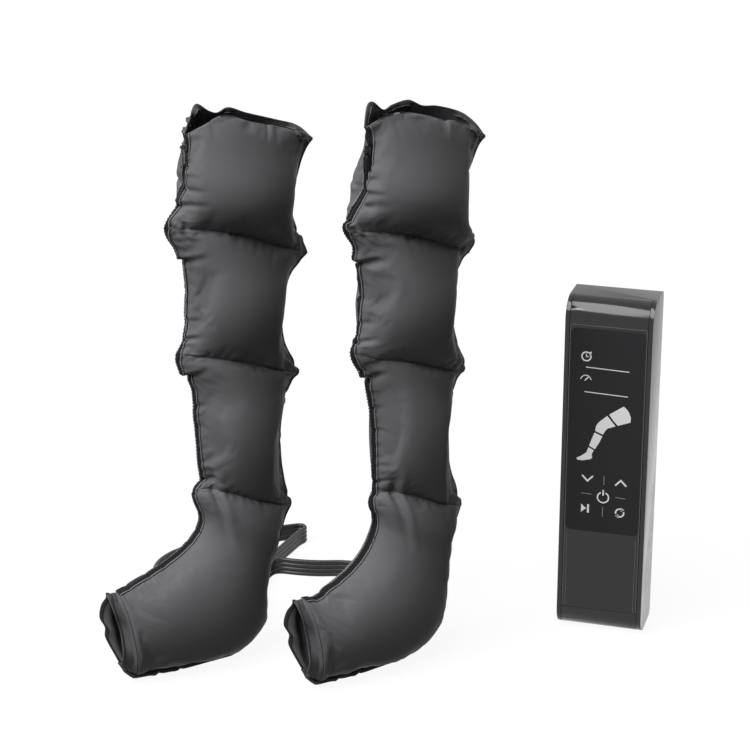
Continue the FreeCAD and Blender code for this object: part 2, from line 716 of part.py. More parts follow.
def valve_block():
    """Manifold on two brackets from the back wall, four coils and four sprung plungers."""
    body = block(
        "manifold_block", ("-block_width / 2", "block_width / 2"), (BLOCK_FRONT, BLOCK_BACK),
        ("block_low", BLOCK_TOP))
    ribs = [
        block(
            f"manifold_foot_{number}", (f"{side}(block_width / 4) - 3", f"{side}(block_width / 4) + 3"),
            (f"{BLOCK_BACK} - 1", f"{CAVITY_BACK} - fit_gap"), ("block_low + 2", f"{BLOCK_TOP} - 2"))
        for number, side in enumerate(("-", ""))
    ]
    barbs = [
        rod(
            f"block_barb_{number}", "z", "barb_radius", "barb_long + 0.5",
            (x, TUBE_Y, "block_low - barb_long"))
        for number, x in enumerate(TUBE_XS)
    ]
    feed_barb = rod(
        "feed_barb", "z", "barb_radius", "barb_long + 0.5", ("feed_x", "feed_y", "block_low - barb_long"))
    seats = [
        rod(f"valve_seat_{number}", "z", "plunger_radius - 1", "3", (x, COIL_Y, f"{BLOCK_TOP} - 2.5"))
        for number, x in enumerate(COIL_XS)
    ]
    keep(cut("valve_block_cut", join("valve_block_sum", [body] + ribs + barbs + [feed_barb]), seats),
         "valve_block")
    coils = []
    for number, x in enumerate(COIL_XS):
        can = block(
            f"coil_can_{number}", (f"{x} - coil_side / 2", f"{x} + coil_side / 2"),
            (f"{COIL_Y} - coil_side / 2", f"{COIL_Y} + coil_side / 2"),
            (BLOCK_TOP, f"{BLOCK_TOP} + coil_tall"))
        bore = rod(
            f"coil_bore_{number}", "z", "plunger_radius + run_clearance", "coil_tall + 2",
            (x, COIL_Y, f"{BLOCK_TOP} - 1"))
        side = block(
            f"coil_window_{number}", (f"{x} - coil_side / 2 + 2", f"{x} + coil_side / 2 - 2"),
            (f"{COIL_Y} - coil_side", f"{COIL_Y} - coil_side / 2 + 1.2"),
            (f"{BLOCK_TOP} + 4", f"{BLOCK_TOP} + coil_tall - 4"))
        coils.append(cut(f"coil_{number}", can, [bore, side]))
    keep(group("solenoid_coils_group", coils), "solenoid_coils")
    for number, x in enumerate(COIL_XS, start=1):
        stem = rod(
            f"plunger_stem_{number}", "z", "plunger_radius", "plunger_long",
            (x, COIL_Y, f"{BLOCK_TOP} + fit_gap"))
        slit = block(
            f"plunger_slit_{number}", (f"{x} - 0.5", f"{x} + 0.5"), (f"{COIL_Y} - 4", f"{COIL_Y} + 4"),
            (f"{BLOCK_TOP} + fit_gap + plunger_long - 1.2", f"{BLOCK_TOP} + plunger_long + 2"))
        keep(cut(f"plunger_cut_{number}", stem, [slit]), f"valve_plunger_{number}")


def outlet_and_tubes():
    """Outlet block with its sockets, four riser tubes, the feed tube and the power jack."""
    body = block(
        "outlet_body", ("-outlet_width / 2", "outlet_width / 2"), ("case_depth / 2 - outlet_deep", "case_depth / 2"),
        ("outlet_low", "outlet_high"))
    barbs = [
        rod(
            f"outlet_barb_{number}", "z", "barb_radius", "barb_long + 0.5",
            (x, TUBE_Y, "outlet_high - 0.5"))
        for number, x in enumerate(TUBE_XS)
    ]
    sockets = []
    for row, level in enumerate(("row_low", "row_high")):
        for number in range(4):
            sockets.append(rod(
                f"socket_{row}_{number}", "y", "socket_radius", "socket_deep + 1",
                (f"({number} - 1.5) * socket_pitch", "case_depth / 2 - socket_deep", level)))
    keep(cut("outlet_block_cut", join("outlet_sum", [body] + barbs), sockets), "outlet_block")
    risers = []
    for number, x in enumerate(TUBE_XS):
        outer = rod(
            f"riser_outer_{number}", "z", "tube_radius", "block_low - outlet_high - 2 * fit_gap",
            (x, TUBE_Y, "outlet_high + fit_gap"))
        inner = rod(
            f"riser_inner_{number}", "z", "barb_radius + run_clearance", "block_low - outlet_high + 2",
            (x, TUBE_Y, "outlet_high - 1"))
        risers.append(cut(f"riser_{number}", outer, [inner]))
    keep(group("riser_tubes_group", risers), "riser_tubes")
    keep_shape("feed_tube", feed_tube_shape())
    jack = block(
        "jack_body", ("-jack_width / 2", "jack_width / 2"),
        ("case_depth / 2 - jack_deep", "case_depth / 2"), ("jack_low", "jack_low + jack_tall"))
    jack_bore = rod(
        "jack_bore_rod", "y", "jack_bore", "jack_deep",
        ("0", "case_depth / 2 - jack_deep + 3", "jack_low + jack_tall / 2"))
    jack_pin = rod(
        "jack_pin_rod", "y", "jack_pin", "jack_deep - 4",
        ("0", "case_depth / 2 - jack_deep + 2", "jack_low + jack_tall / 2"))
    keep(join("power_jack_sum", [cut("jack_cut", jack, [jack_bore]), jack_pin]), "power_jack")


def feed_tube_shape():
    """Tube from the head's nozzle, out to the side and up to the valve block."""
    level = S.head_low + S.head_tall_z / 2
    start = Vector(S.head_radius + S.fit_gap, S.feed_y, level)
    corner = Vector(S.feed_x, S.feed_y, level)
    end = Vector(S.feed_x, S.feed_y, S.block_low - S.fit_gap)
    path = route_wire([start, corner, end], S.feed_bend)
    walls = []
    for radius in (S.tube_radius, S.barb_radius + S.run_clearance):
        ring = Part.Wire(Part.makeCircle(radius, start, Vector(1, 0, 0)))
        walls.append(Part.Wire(path).makePipe(Part.Face(ring)))
    return walls[0].cut(walls[1])


# ---------------------------------------------------------------- routes

def turn_radius(before, corner, after):
    """Radius of the arc at a corner: 0.45 of the shorter run over the tangent of half the turn."""
    first = corner - before
    last = after - corner
    half_turn = first.getAngle(last) / 2
    return 0.45 * min(first.Length, last.Length) / math.tan(half_turn)


def route_wire(points, radius=None):
    """Straight runs joined by tangent arcs, as large as the runs allow unless a radius is given."""
    edges = []
    start = points[0]
    for before, corner, after in zip(points, points[1:], points[2:]):
        come = (corner - before).normalize()
        leave = (after - corner).normalize()
        half_turn = come.getAngle(leave) / 2
        bend = radius or turn_radius(before, corner, after)
        reach = bend * math.tan(half_turn)
        first = corner - come * reach
        last = corner + leave * reach
        inward = (leave - come).normalize()
        middle = corner + inward * (bend / math.cos(half_turn) - bend)
        edges.append(Part.LineSegment(start, first).toShape())
        edges.append(Part.Arc(first, middle, last).toShape())
        start = last
    edges.append(Part.LineSegment(start, points[-1]).toShape())
    return Part.Wire(edges)


# ---------------------------------------------------------------- sleeves

class Station:
    """One cross-section of a sleeve: an ellipse between a front point and a back point."""

    def __init__(self, front, back, half):
        self.front = Vector(front[0], 0, front[1])
        self.back = Vector(back[0], 0, back[1])
        self.half = half

    def across(self):
        """Unit vector from the front point to the back point."""
        return (self.back - self.front).normalize()

    def normal(self):
        """Unit normal of the section's plane, towards the toe end."""
        return self.across().cross(Vector(0, -1, 0))

    def ring(self, edge=0.0, half=None, shift=0.0):
        """Closed ellipse, drawn in at both ends by edge and moved along the normal by shift."""
        centre = (self.front + self.back) * 0.5 + self.normal() * shift
        major = (self.back - self.front).Length / 2 - edge
        minor = self.half if half is None else half
        ellipse = Part.Ellipse(
            centre + self.across() * major, centre + Vector(0, minor, 0), centre)
        return Part.Wire(ellipse.toShape())

    def window(self, shift):
        """Rectangle across the section that leaves the skin its wall at all four corners."""
        major = (self.back - self.front).Length / 2
        rise = (S.window_half + S.window_wall) / self.half
        reach = major * math.sqrt(1 - rise * rise)
        centre = (self.front + self.back) * 0.5 + self.normal() * shift
        corners = [
            centre + self.across() * (reach * way) + Vector(0, S.window_half * side, 0)
            for way, side in ((-1, -1), (1, -1), (1, 1), (-1, 1))]
        return Part.makePolygon(corners + corners[:1])

    def beyond(self, way):
        """Box that holds all that lies past the section's plane, less half a weld gap."""
        low = -S.weld_gap / 2 if way > 0 else S.weld_gap / 2 - 400
        box = Part.makeBox(600, 300, 400, Vector(-300, -150, low))
        box.Placement = FreeCAD.Placement(
            (self.front + self.back) * 0.5,
            FreeCAD.Rotation(self.across(), -Y_AXIS, self.normal(), "XYZ"))
        return box


def blend(first, last, share):
    """Point between two points."""
    return (first[0] + (last[0] - first[0]) * share, first[1] + (last[1] - first[1]) * share)


def leaned(point, lean):
    """Point of the leg moved forward in proportion to its height above the ankle."""
    return (point[0] - lean * max(point[1] - S.calf_front_z, 0.0), point[1])


def bulged(upper, lower, waist, half):
    """Five stations of a straight chamber, drawn in at its middle by waist and swollen to half."""
    stations = []
    for step in range(5):
        share = step / 4
        swell = math.sin(math.pi * share)
        front = blend(upper[0], lower[0], share)
        back = blend(upper[1], lower[1], share)
        width = math.dist(front, back)
        pull = waist * swell / width
        seam = upper[2] + (lower[2] - upper[2]) * share
        stations.append(Station(
            blend(front, back, pull), blend(back, front, pull), seam + (half - seam) * swell ** 0.75))
    return stations


def foot_stations():
    """Stations that fan round the heel, from the ankle seam to the toe opening."""
    backs = [
        (S.calf_back_x, S.calf_back_z), (S.heel_high_x, S.heel_high_z), (S.heel_mid_x, S.heel_mid_z),
        (S.heel_low_x, S.heel_low_z), (S.arch_x, S.arch_z), (S.ball_x, S.ball_z),
        (S.toe_back_x, S.toe_back_z),
    ]
    halves = [
        S.seam_half, S.ankle_half, (S.ankle_half + S.foot_half) / 2, S.foot_half, S.foot_half,
        (S.foot_half + S.toe_half) / 2, S.toe_half,
    ]
    stations = []
    for step, (back, half) in enumerate(zip(backs, halves)):
        share = step / (len(backs) - 1)
        front = blend((S.calf_front_x, S.calf_front_z), (S.toe_front_x, S.toe_front_z), share)
        pull = S.instep_waist * math.sin(math.pi * share) / math.dist(front, back)
        stations.append(Station(blend(front, back, pull), back, half))
    return stations


def skin_through(stations):
    """Solid through the stations, half a weld gap short at both ends."""
    last = len(stations) - 1
    rings = []
    for number, item in enumerate(stations):
        inset = S.weld_gap / 2 if number == 0 else (-S.weld_gap / 2 if number == last else 0.0)
        rings.append(item.ring(shift=inset))
    return Part.makeLoft(rings, True)


def channel_through(stations, edge, half):
    """Ruled leg channel through every second station, run on past both ends."""
    last = len(stations) - 1
    rings = []
    for number, item in enumerate(stations):
        beyond = -3.0 if number == 0 else (3.0 if number == last else 0.0)
        if number % 2 == 0 or number == last:
            rings.append(item.ring(edge, half, shift=beyond))
    return Part.makeLoft(rings, True, True)


def foot_cells(stations, outer):
    """The foot's solid as bladder cells: three round the heel, each in four round its channel.

    The channel of a cell is a straight-sided run between two windows, so each cell's walls are
    flat on the inside: one on either side of the foot, one over the instep and one under the sole.
    """
    cells = []
    last = len(stations) - 1
    middle = S.window_half - S.weld_gap / 2
    slab = Part.makeBox(800, 2 * middle, 800, Vector(-400, -middle, -200))
    for start in range(0, last, 2):
        first = stations[start]
        final = stations[start + 2]
        channel = Part.makeLoft([first.window(-3.0), final.window(3.0)], True, True)
        cell = outer
        if start > 0:
            cell = cell.cut(first.beyond(-1))
        if start + 2 < last:
            cell = cell.cut(final.beyond(1))
        cells += cell.common(slab).cut(channel).Solids
        for way in (-1, 1):
            low = S.window_half + S.weld_gap / 2 if way > 0 else -S.window_half - S.weld_gap / 2 - 100
            cells += cell.common(Part.makeBox(800, 100, 800, Vector(-400, low, -200))).Solids
    return Part.makeCompound(cells)


def offset_chain(points, distance):
    """Chain of points moved forward by a distance, with mitred corners."""
    moved = []
    for number, point in enumerate(points):
        before = points[max(number - 1, 0)]
        after = points[min(number + 1, len(points) - 1)]
        first = (point - before) if number else (after - point)
        last = (after - point) if number < len(points) - 1 else first
        one = Vector(first.z, 0, -first.x).normalize()
        two = Vector(last.z, 0, -last.x).normalize()
        mid = (one + two).normalize()
        moved.append(point + mid * (distance / mid.dot(one)))
    return moved


def band(chain, inner, outer, half):
    """Strip of a given width that follows the front edge between two offsets."""
    near = offset_chain(chain, inner)
    far = offset_chain(chain, outer)
    outline = Part.makePolygon(near + far[::-1] + [near[0]])
    outline.translate(Vector(0, -half, 0))
    return Part.Face(outline).extrude(Vector(0, 2 * half, 0))


class Sleeve:
    """One leg sleeve with its chambers, bindings, zipper, sole and hose gland."""

    def __init__(self, side, place, gland_x, lean):
        self.side = side
        self.placement = FreeCAD.Placement(
            Vector(place[0], place[1], 0), FreeCAD.Rotation(Z_AXIS, place[2]))
        self.gland_x = gland_x
        self.seams = {
            name: (
                leaned((getattr(S, f"{name}_front_x"), getattr(S, f"{name}_front_z")), lean),
                leaned((getattr(S, f"{name}_back_x"), getattr(S, f"{name}_back_z")), lean),
                half,
            )
            for name, half in (
                ("rim", S.rim_half), ("top", S.top_half), ("thigh", S.seam_half),
                ("knee", S.seam_half), ("calf", S.seam_half))
        }
        self.legs = {
            "thigh_chamber": bulged(self.seams["top"], self.seams["thigh"], S.thigh_waist, S.thigh_half),
            "knee_chamber": bulged(self.seams["thigh"], self.seams["knee"], S.knee_waist, S.knee_half),
            "calf_chamber": bulged(self.seams["knee"], self.seams["calf"], S.calf_waist, S.calf_half),
            "foot_chamber": foot_stations(),
        }

    def keep(self, name, shape, local=FreeCAD.Placement()):
        """Register one of this sleeve's pieces in the kit's frame."""
        return keep_shape(f"{self.side}_{name}", shape, self.placement.multiply(local))

    def chambers(self):
        """The four air chambers, welded seam to seam."""
        for name, stations in self.legs.items():
            outer = skin_through(stations)
            if name == "foot_chamber":
                self.foot_outer = outer
                self.keep(name, foot_cells(stations, outer))
            else:
                self.keep(name, outer.cut(channel_through(stations, S.channel_edge, S.channel_half)))

    def cuff(self):
        """Bound rim at the thigh end."""
        stations = [Station(*self.seams["rim"]), Station(*self.seams["top"])]
        channel = channel_through(stations, S.cuff_edge, S.cuff_half)
        self.keep("cuff", skin_through(stations).cut(channel))

    def toe_binding(self):
        """Bound ring round the toe opening."""
        toe = self.legs["foot_chamber"][-1]
        outer = Part.makeLoft([toe.ring(shift=S.weld_gap), toe.ring(shift=S.binding_long)], True)
        channel = Part.makeLoft(
            [toe.ring(S.cuff_edge, S.cuff_half, shift=-1.0),
             toe.ring(S.cuff_edge, S.cuff_half, shift=S.binding_long + 1.0)], True)
        self.keep("toe_binding", outer.cut(channel))

    def sole(self):
        """Flat sole pad under the foot, rounded at both ends."""
        pad = Part.makeBox(
            S.sole_heel - S.sole_toe, 2 * S.sole_half, S.sole_thick, Vector(S.sole_toe, -S.sole_half, 0))
        for end in (S.sole_toe, S.sole_heel):
            pad = pad.fuse(Part.makeCylinder(S.sole_half, S.sole_thick, Vector(end, 0, 0)))
        self.keep("sole", pad.removeSplitter())

    def front_chain(self):
        """Corner points of the front edge, from the top seam to the toe."""
        chain = []
        for stations in self.legs.values():
            picked = stations[::2] if len(stations) == 5 else stations
            chain += [item.front for item in picked if not chain or (item.front - chain[-1]).Length > 1]
        return chain

    def zipper(self):
        """Tape with its row of teeth, the slider on the teeth and the pull on the slider."""
        chain = self.front_chain()
        inner = S.weld_gap + 0.1
        outer = inner + S.tape_thick
        tape = band(chain, inner, outer, S.tape_half)
        teeth = band(chain, outer - 0.05, outer + S.teeth_tall, S.teeth_half)
        self.keep("zipper_tape", tape.fuse(teeth).removeSplitter())
        down = (chain[1] - chain[0]).normalize()
        out = Vector(down.z, 0, -down.x)
        frame = FreeCAD.Placement(
            chain[0] + down * S.slider_start + out * outer, FreeCAD.Rotation(down, -Y_AXIS, out, "XYZ"))
        self.keep("zipper_slider", self.slider_shape(), frame)
        self.keep("zipper_pull", self.pull_shape(), frame)
        bar = self.placement.multVec(frame.multVec(Vector(0, 0, self.bar_level())))
        slide = self.placement.Rotation.multVec(down)
        hinge = self.placement.Rotation.multVec(Y_AXIS)
        print(self.side, "slider axis", tuple(slide), "pull bar", tuple(bar), "bar axis", tuple(hinge))

    def bar_level(self):
        """Height of the pull's bar above the tape."""
        return S.teeth_tall + S.fit_gap + S.slider_plate + S.bar_height

    def slider_shape(self):
        """Slider in its own frame: X down the tape, Z outward from the tape's face."""
        top = S.teeth_tall + S.fit_gap + S.slider_plate
        long = S.slider_long
        half = S.slider_half
        body = Part.makeBox(long, 2 * half, top - S.fit_gap, Vector(-long / 2, -half, S.fit_gap))
        edges = [edge for edge in body.Edges if along(edge, Z_AXIS)]
        body = body.makeFillet(half / 2, edges)
        channel_half = S.teeth_half + S.fit_gap
        body = body.cut(Part.makeBox(
            long + 2, 2 * channel_half, S.teeth_tall + S.fit_gap, Vector(-long / 2 - 1, -channel_half, 0)))
        for way in (-1, 1):
            low = S.ear_half if way > 0 else -S.ear_half - S.ear_thick
            ear = Part.makeBox(2 * S.eye_radius, S.ear_thick, S.ear_tall + 0.2,
                               Vector(-S.eye_radius, low, top - 0.2))
            body = body.fuse(ear)
        reach = S.ear_half + S.ear_thick
        bar = Part.makeCylinder(S.bar_radius, 2 * reach, Vector(0, -reach, self.bar_level()), Y_AXIS)
        return body.fuse(bar).removeSplitter()

    def pull_shape(self):
        """Pull in the slider's frame: an eye round the bar and a tab that hangs down."""
        level = self.bar_level()
        eye = Part.makeCylinder(S.eye_radius, 2 * S.pull_half, Vector(0, -S.pull_half, level), Y_AXIS)
        neck = Part.makeBox(
            S.slider_long / 2 + 2, 2 * S.pull_half, S.tab_thick,
            Vector(0, -S.pull_half, level - S.tab_thick / 2))
        start = S.slider_long / 2 + 1
        tab = Part.makeBox(
            S.tab_long, 2 * S.tab_half, S.tab_thick, Vector(start, -S.tab_half, level - S.tab_thick / 2))
        tab = tab.makeFillet(S.tab_half * 0.6, [edge for edge in tab.Edges if along(edge, Z_AXIS)])
        grip = Part.makeCylinder(
            S.tab_half * 0.45, 2 * S.tab_thick,
            Vector(start + S.tab_long - S.tab_half * 1.6, 0, level - S.tab_thick))
        hole = Part.makeCylinder(
            S.bar_radius + S.run_clearance, 4 * S.pull_half, Vector(0, -2 * S.pull_half, level), Y_AXIS)
        return eye.fuse([neck, tab]).cut(hole).cut(grip).removeSplitter()

    def gland(self):
        """Moulded hose gland that seats on the foot's inner side and meets the ribbon."""
        block_shape = Part.makeBox(
            2 * S.gland_half, S.gland_outer - S.gland_inner, S.gland_high - S.gland_low,
            Vector(self.gland_x - S.gland_half, S.gland_inner, S.gland_low))
        outer_edges = [
            edge for edge in block_shape.Edges
            if edge.CenterOfMass.y > S.gland_outer - 0.1 and along(edge, Z_AXIS)]
        block_shape = block_shape.makeChamfer(S.gland_half / 2, outer_edges)
        seat = self.foot_outer.copy()
        seat.translate(Vector(0, S.fit_gap + 0.1, 0))
        carved = block_shape.cut(seat)
        far = max(carved.Solids, key=lambda solid: solid.CenterOfMass.y)
        self.keep("hose_gland", far)


# ---------------------------------------------------------------- ribbon hoses

def ribbon(label, route):
    """Ribbon hose on its edge along a flat route, and the printed radii of its bends."""
    level = S.ribbon_low
    points = [Vector(x, y, level) for x, y in route]
    path = route_wire(points)
    sides = []
    for way in (-1, 1):
        sides.append(offset_side(points, way * S.ribbon_thick / 2))
    left, right = sides
    caps = [
        Part.LineSegment(left[0].Vertexes[0].Point, right[0].Vertexes[0].Point).toShape(),
        Part.LineSegment(left[-1].Vertexes[-1].Point, right[-1].Vertexes[-1].Point).toShape(),
    ]
    outline = Part.Wire(Part.__sortEdges__(left + right + caps))
    solid = Part.Face(outline).extrude(Vector(0, 0, S.ribbon_tall))
    keep_shape(label, solid)
    radii = [turn_radius(*three) for three in zip(points, points[1:], points[2:])]
    expected = S.ribbon_tall * S.ribbon_thick * path.Length
    print(label, "length", round(path.Length), "volume share", round(solid.Volume / expected, 3),
          "radii", [round(radius) for radius in radii])


def offset_side(points, distance):
    """One long side of the ribbon: the route's runs and arcs moved sideways."""
    edges = []
    side_start = None
    for before, corner, after in zip(points, points[1:], points[2:]):
        come = (corner - before).normalize()
        leave = (after - corner).normalize()
        half_turn = come.getAngle(leave) / 2
        bend = turn_radius(before, corner, after)
        reach = bend * math.tan(half_turn)
        first = corner - come * reach
        last = corner + leave * reach
        centre = corner + (leave - come).normalize() * (bend / math.cos(half_turn))
        come_side = Vector(-come.y, come.x, 0) * distance
        leave_side = Vector(-leave.y, leave.x, 0) * distance
        if side_start is None:
            side_start = points[0] + come_side
        new_first = first + come_side
        new_last = last + leave_side
        radius = (new_first - centre).Length
        middle = centre + (corner - centre).normalize() * radius
        edges.append(Part.LineSegment(side_start, new_first).toShape())
        edges.append(Part.Arc(new_first, middle, new_last).toShape())
        side_start = new_last
    final = (points[-1] - points[-2]).normalize()
    edges.append(Part.LineSegment(side_start, points[-1] + Vector(-final.y, final.x, 0) * distance).toShape())
    return edges


def coil_and_plug(side, centre, radius, hole):
    """Rolled length of the ribbon with its tail, and the four-port connector in the middle."""
    middle = Vector(centre[0], centre[1], S.ribbon_low)
    ring = Part.makeCylinder(radius + S.ribbon_thick / 2, S.ribbon_tall, middle)
    ring = ring.cut(Part.makeCylinder(hole, S.ribbon_tall, middle))
    plug_start = S.tail_long - hole
    tail = Part.makeBox(
        S.tail_long + 1, S.ribbon_thick, S.ribbon_tall,
        middle + Vector(-hole - 1, -S.ribbon_thick / 2, 0))
    keep_shape(f"{side}_hose_coil", ring.fuse(tail).removeSplitter())
    plug = Part.makeBox(
        S.plug_long, S.plug_thick, S.plug_tall,
        Vector(centre[0] + plug_start, centre[1] - S.plug_thick / 2, 0))
    plug = plug.makeFillet(S.plug_corner, [edge for edge in plug.Edges if along(edge, Z_AXIS)])
    nipples = []
    for number in range(4):
        level = S.plug_tall / 2 + (number - 1.5) * S.socket_pitch
        nipples.append(Part.makeCylinder(
            S.nipple_radius, S.nipple_long + 1,
            Vector(centre[0] + plug_start + S.plug_long - 1, centre[1], level), X_AXIS))
    keep_shape(f"{side}_connector", plug.fuse(nipples).removeSplitter())


# ---------------------------------------------------------------- whole kit

def build():
    """Make every sub-part of the kit."""
    rear_housing()
    front_cover()
    face_and_label()
    base_pad()
    housing_screws()
    electronics()
    air_pump()
    motor_mount()
    valve_block()
    outlet_and_tubes()
    for side, place, gland_x, lean in (
            ("left", LEFT_PLACE, S.left_gland_x, 0.0), ("right", RIGHT_PLACE, S.right_gland_x, 0.025)):
        sleeve = Sleeve(side, place, gland_x, lean)
        sleeve.chambers()
        sleeve.cuff()
        sleeve.toe_binding()
        sleeve.sole()
        sleeve.zipper()
        sleeve.gland()
    ribbon("left_hose", LEFT_ROUTE)
    ribbon("right_hose", RIGHT_ROUTE)
    coil_and_plug("left", LEFT_COIL, S.left_coil_radius, S.left_coil_hole)
    coil_and_plug("right", RIGHT_COIL, S.right_coil_radius, S.right_coil_hole)


def check_and_export():
    """Refuse a failed object or a bad shape, then write one STEP file per sub-part."""
    DOC.recompute()
    failed = [obj.Name for obj in DOC.Objects if {"Invalid", "Error"} & set(obj.State)]
    if failed:
        raise RuntimeError(f"failed objects: {failed}")
    for label, obj in PARTS.items():
        if obj.Shape.isNull() or not obj.Shape.isValid() or not obj.Shape.Solids:
            raise RuntimeError(f"bad shape: {label}")
    os.makedirs("parts", exist_ok=True)
    for label, obj in PARTS.items():
        obj.Shape.exportStep(os.path.join("parts", f"{label}.step"))
    print(len(PARTS), "sub-parts written")


build()
check_and_export()
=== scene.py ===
"""Looks of a pneumatic compression kit: a pump unit, two inflated leg sleeves and their ribbon hoses.

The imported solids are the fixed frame. Blender works in metres; a name that ends in _mm, and every
size in the sub-assemblies' fields, is in millimetres. A sleeve is worked out in its own frame, with
X from toe to heel, Y away from its outer side and Z up, and is then placed beside the pump.
"""

import json
import logging
import math
from collections.abc import Sequence
from dataclasses import dataclass, field
from enum import Enum

import bmesh
import bpy
import numpy as np
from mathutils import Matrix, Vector


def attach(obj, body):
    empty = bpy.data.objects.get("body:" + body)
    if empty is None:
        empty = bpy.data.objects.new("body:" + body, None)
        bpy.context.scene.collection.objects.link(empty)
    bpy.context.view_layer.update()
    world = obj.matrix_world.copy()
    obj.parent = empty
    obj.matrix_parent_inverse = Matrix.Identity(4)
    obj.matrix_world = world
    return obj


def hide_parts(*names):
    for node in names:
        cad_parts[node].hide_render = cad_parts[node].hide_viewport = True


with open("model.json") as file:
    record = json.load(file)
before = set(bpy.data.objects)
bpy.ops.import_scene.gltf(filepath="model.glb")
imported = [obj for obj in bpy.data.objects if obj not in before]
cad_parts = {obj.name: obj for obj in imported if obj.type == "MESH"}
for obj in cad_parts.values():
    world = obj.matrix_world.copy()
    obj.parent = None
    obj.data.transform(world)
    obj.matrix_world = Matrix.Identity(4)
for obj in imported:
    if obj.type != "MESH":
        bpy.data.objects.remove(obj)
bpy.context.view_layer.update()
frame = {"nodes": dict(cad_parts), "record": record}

LOG = logging.getLogger("compression_kit")
MM = 0.001
Array = np.ndarray
Node = bpy.types.Node
Piece = bpy.types.Object


# ---------------------------------------------------------------- colour and nodes

def linear(code: str) -> tuple[float, float, float, float]:
    """Linear red, green, blue and alpha of an sRGB hex value with a leading hash."""
    parts = [int(code[at:at + 2], 16) / 255 for at in (1, 3, 5)]
    return (*(v / 12.92 if v <= 0.04045 else ((v + 0.055) / 1.055) ** 2.4 for v in parts), 1.0)


def add(tree: bpy.types.NodeTree, kind: str, settings: dict | None = None,
        sockets: dict | None = None) -> Node:
    """Add one node with its settings, and set or link its input sockets.

    Args:
        tree: the node tree.
        kind: the node's type name.
        settings: the node's own properties.
        sockets: value or output socket for each input, by name or number.

    Returns:
        The new node.
    """
    made = tree.nodes.new(kind)
    for name, value in (settings or {}).items():
        setattr(made, name, value)
    for name, value in (sockets or {}).items():
        if isinstance(value, bpy.types.NodeSocket):
            tree.links.new(value, made.inputs[name])
        else:
            made.inputs[name].default_value = value
    return made


class Coordinates(Enum):
    """What a pattern follows: the piece's place, or its own surface."""

    OBJECT = "Object"
    SURFACE = "UV"


@dataclass(frozen=True)
class Finish:
    """A moulded or coated surface with a slight drift of colour and a fine relief.

    The relief's and the drift's sizes are real ones, and the node scales are worked out from them.
    """

    name: str
    colour: str
    roughness: float
    metallic: float = 0.0
    ior: float = 1.5
    specular: float = 0.5
    sheen: float = 0.0
    coat: float = 0.0
    drift: float = 0.08
    drift_mm: float = 25.0
    grain_mm: float = 0.6
    relief_mm: float = 0.01
    smudge: float = 0.04
    coordinates: Coordinates = Coordinates.OBJECT

    def height(self, tree: bpy.types.NodeTree, place: bpy.types.NodeSocket) -> bpy.types.NodeSocket:
        """Relief of the surface, from 0 to 1: a cloud noise with grains of the stated size."""
        return add(tree, "ShaderNodeTexNoise", {"noise_dimensions": "3D"},
                   {"Vector": place, "Scale": 1000 / self.grain_mm / 2, "Detail": 2.0}).outputs["Fac"]

    def build(self) -> bpy.types.Material:
        """Make the material: base colour with its drift, roughness with its smudges, and the relief.

        Returns:
            The material.
        """
        material = bpy.data.materials.new(self.name)
        material.use_nodes = True
        tree = material.node_tree
        shader = tree.nodes["Principled BSDF"]
        place = add(tree, "ShaderNodeTexCoord").outputs[self.coordinates.value]
        cloud = add(tree, "ShaderNodeTexNoise", None,
                    {"Vector": place, "Scale": 1000 / self.drift_mm, "Detail": 3.0}).outputs["Fac"]
        base = linear(self.colour)
        dark = (*(v * (1 - self.drift) for v in base[:3]), 1.0)
        light = (*(min(v * (1 + self.drift), 1.0) for v in base[:3]), 1.0)
        tone = add(tree, "ShaderNodeMix", {"data_type": "RGBA"}, {"Factor": cloud, 6: dark, 7: light})
        tree.links.new(tone.outputs[2], shader.inputs["Base Color"])
        rough = add(tree, "ShaderNodeMapRange", None, {
            "Value": cloud, "From Min": 0.3, "From Max": 0.7,
            "To Min": max(self.roughness - self.smudge, 0.01),
            "To Max": min(self.roughness + self.smudge, 1.0)})
        tree.links.new(rough.outputs[0], shader.inputs["Roughness"])
        if self.relief_mm > 0:
            bump = add(tree, "ShaderNodeBump", None, {
                "Strength": 1.0, "Distance": self.relief_mm * MM, "Height": self.height(tree, place)})
            tree.links.new(bump.outputs["Normal"], shader.inputs["Normal"])
        shader.inputs["Metallic"].default_value = self.metallic
        if self.metallic == 0:
            shader.inputs["IOR"].default_value = self.ior
            shader.inputs["Specular IOR Level"].default_value = self.specular
        shader.inputs["Sheen Weight"].default_value = self.sheen
        shader.inputs["Sheen Roughness"].default_value = 0.5
        shader.inputs["Coat Weight"].default_value = self.coat
        return material


@dataclass(frozen=True)
class WovenCloth(Finish):
    """Plain weave: crossed threads that rise and dip, drawn as coarse as they need to show."""

    thread_mm: float = 1.4
    coordinates: Coordinates = Coordinates.SURFACE

    def wave(self, tree: bpy.types.NodeTree, place: bpy.types.NodeSocket, way: str,
             **more: float) -> bpy.types.NodeSocket:
        """One sine wave with the threads' spacing: Blender's wave has a length of pi / 10 over its scale."""
        return add(tree, "ShaderNodeTexWave", {"bands_direction": way, "wave_profile": "SIN"},
                   {"Vector": place, "Scale": math.pi / 10 / (self.thread_mm * MM), **more}).outputs["Fac"]

    def height(self, tree: bpy.types.NodeTree, place: bpy.types.NodeSocket) -> bpy.types.NodeSocket:
        """Relief of the weave: the product of two sine waves at right angles, plus a slight slub.

        Args:
            tree: the material's node tree.
            place: the coordinates that the pattern follows.

        Returns:
            The height's socket.
        """
        warp, weft = (self.wave(tree, place, way, Distortion=0.4, Detail=1.0) for way in ("X", "Y"))
        crossed = add(tree, "ShaderNodeMath", {"operation": "MULTIPLY"}, {0: warp, 1: weft})
        slub = super().height(tree, place)
        return add(tree, "ShaderNodeMath", {"operation": "ADD"}, {0: crossed.outputs[0], 1: slub}).outputs[0]


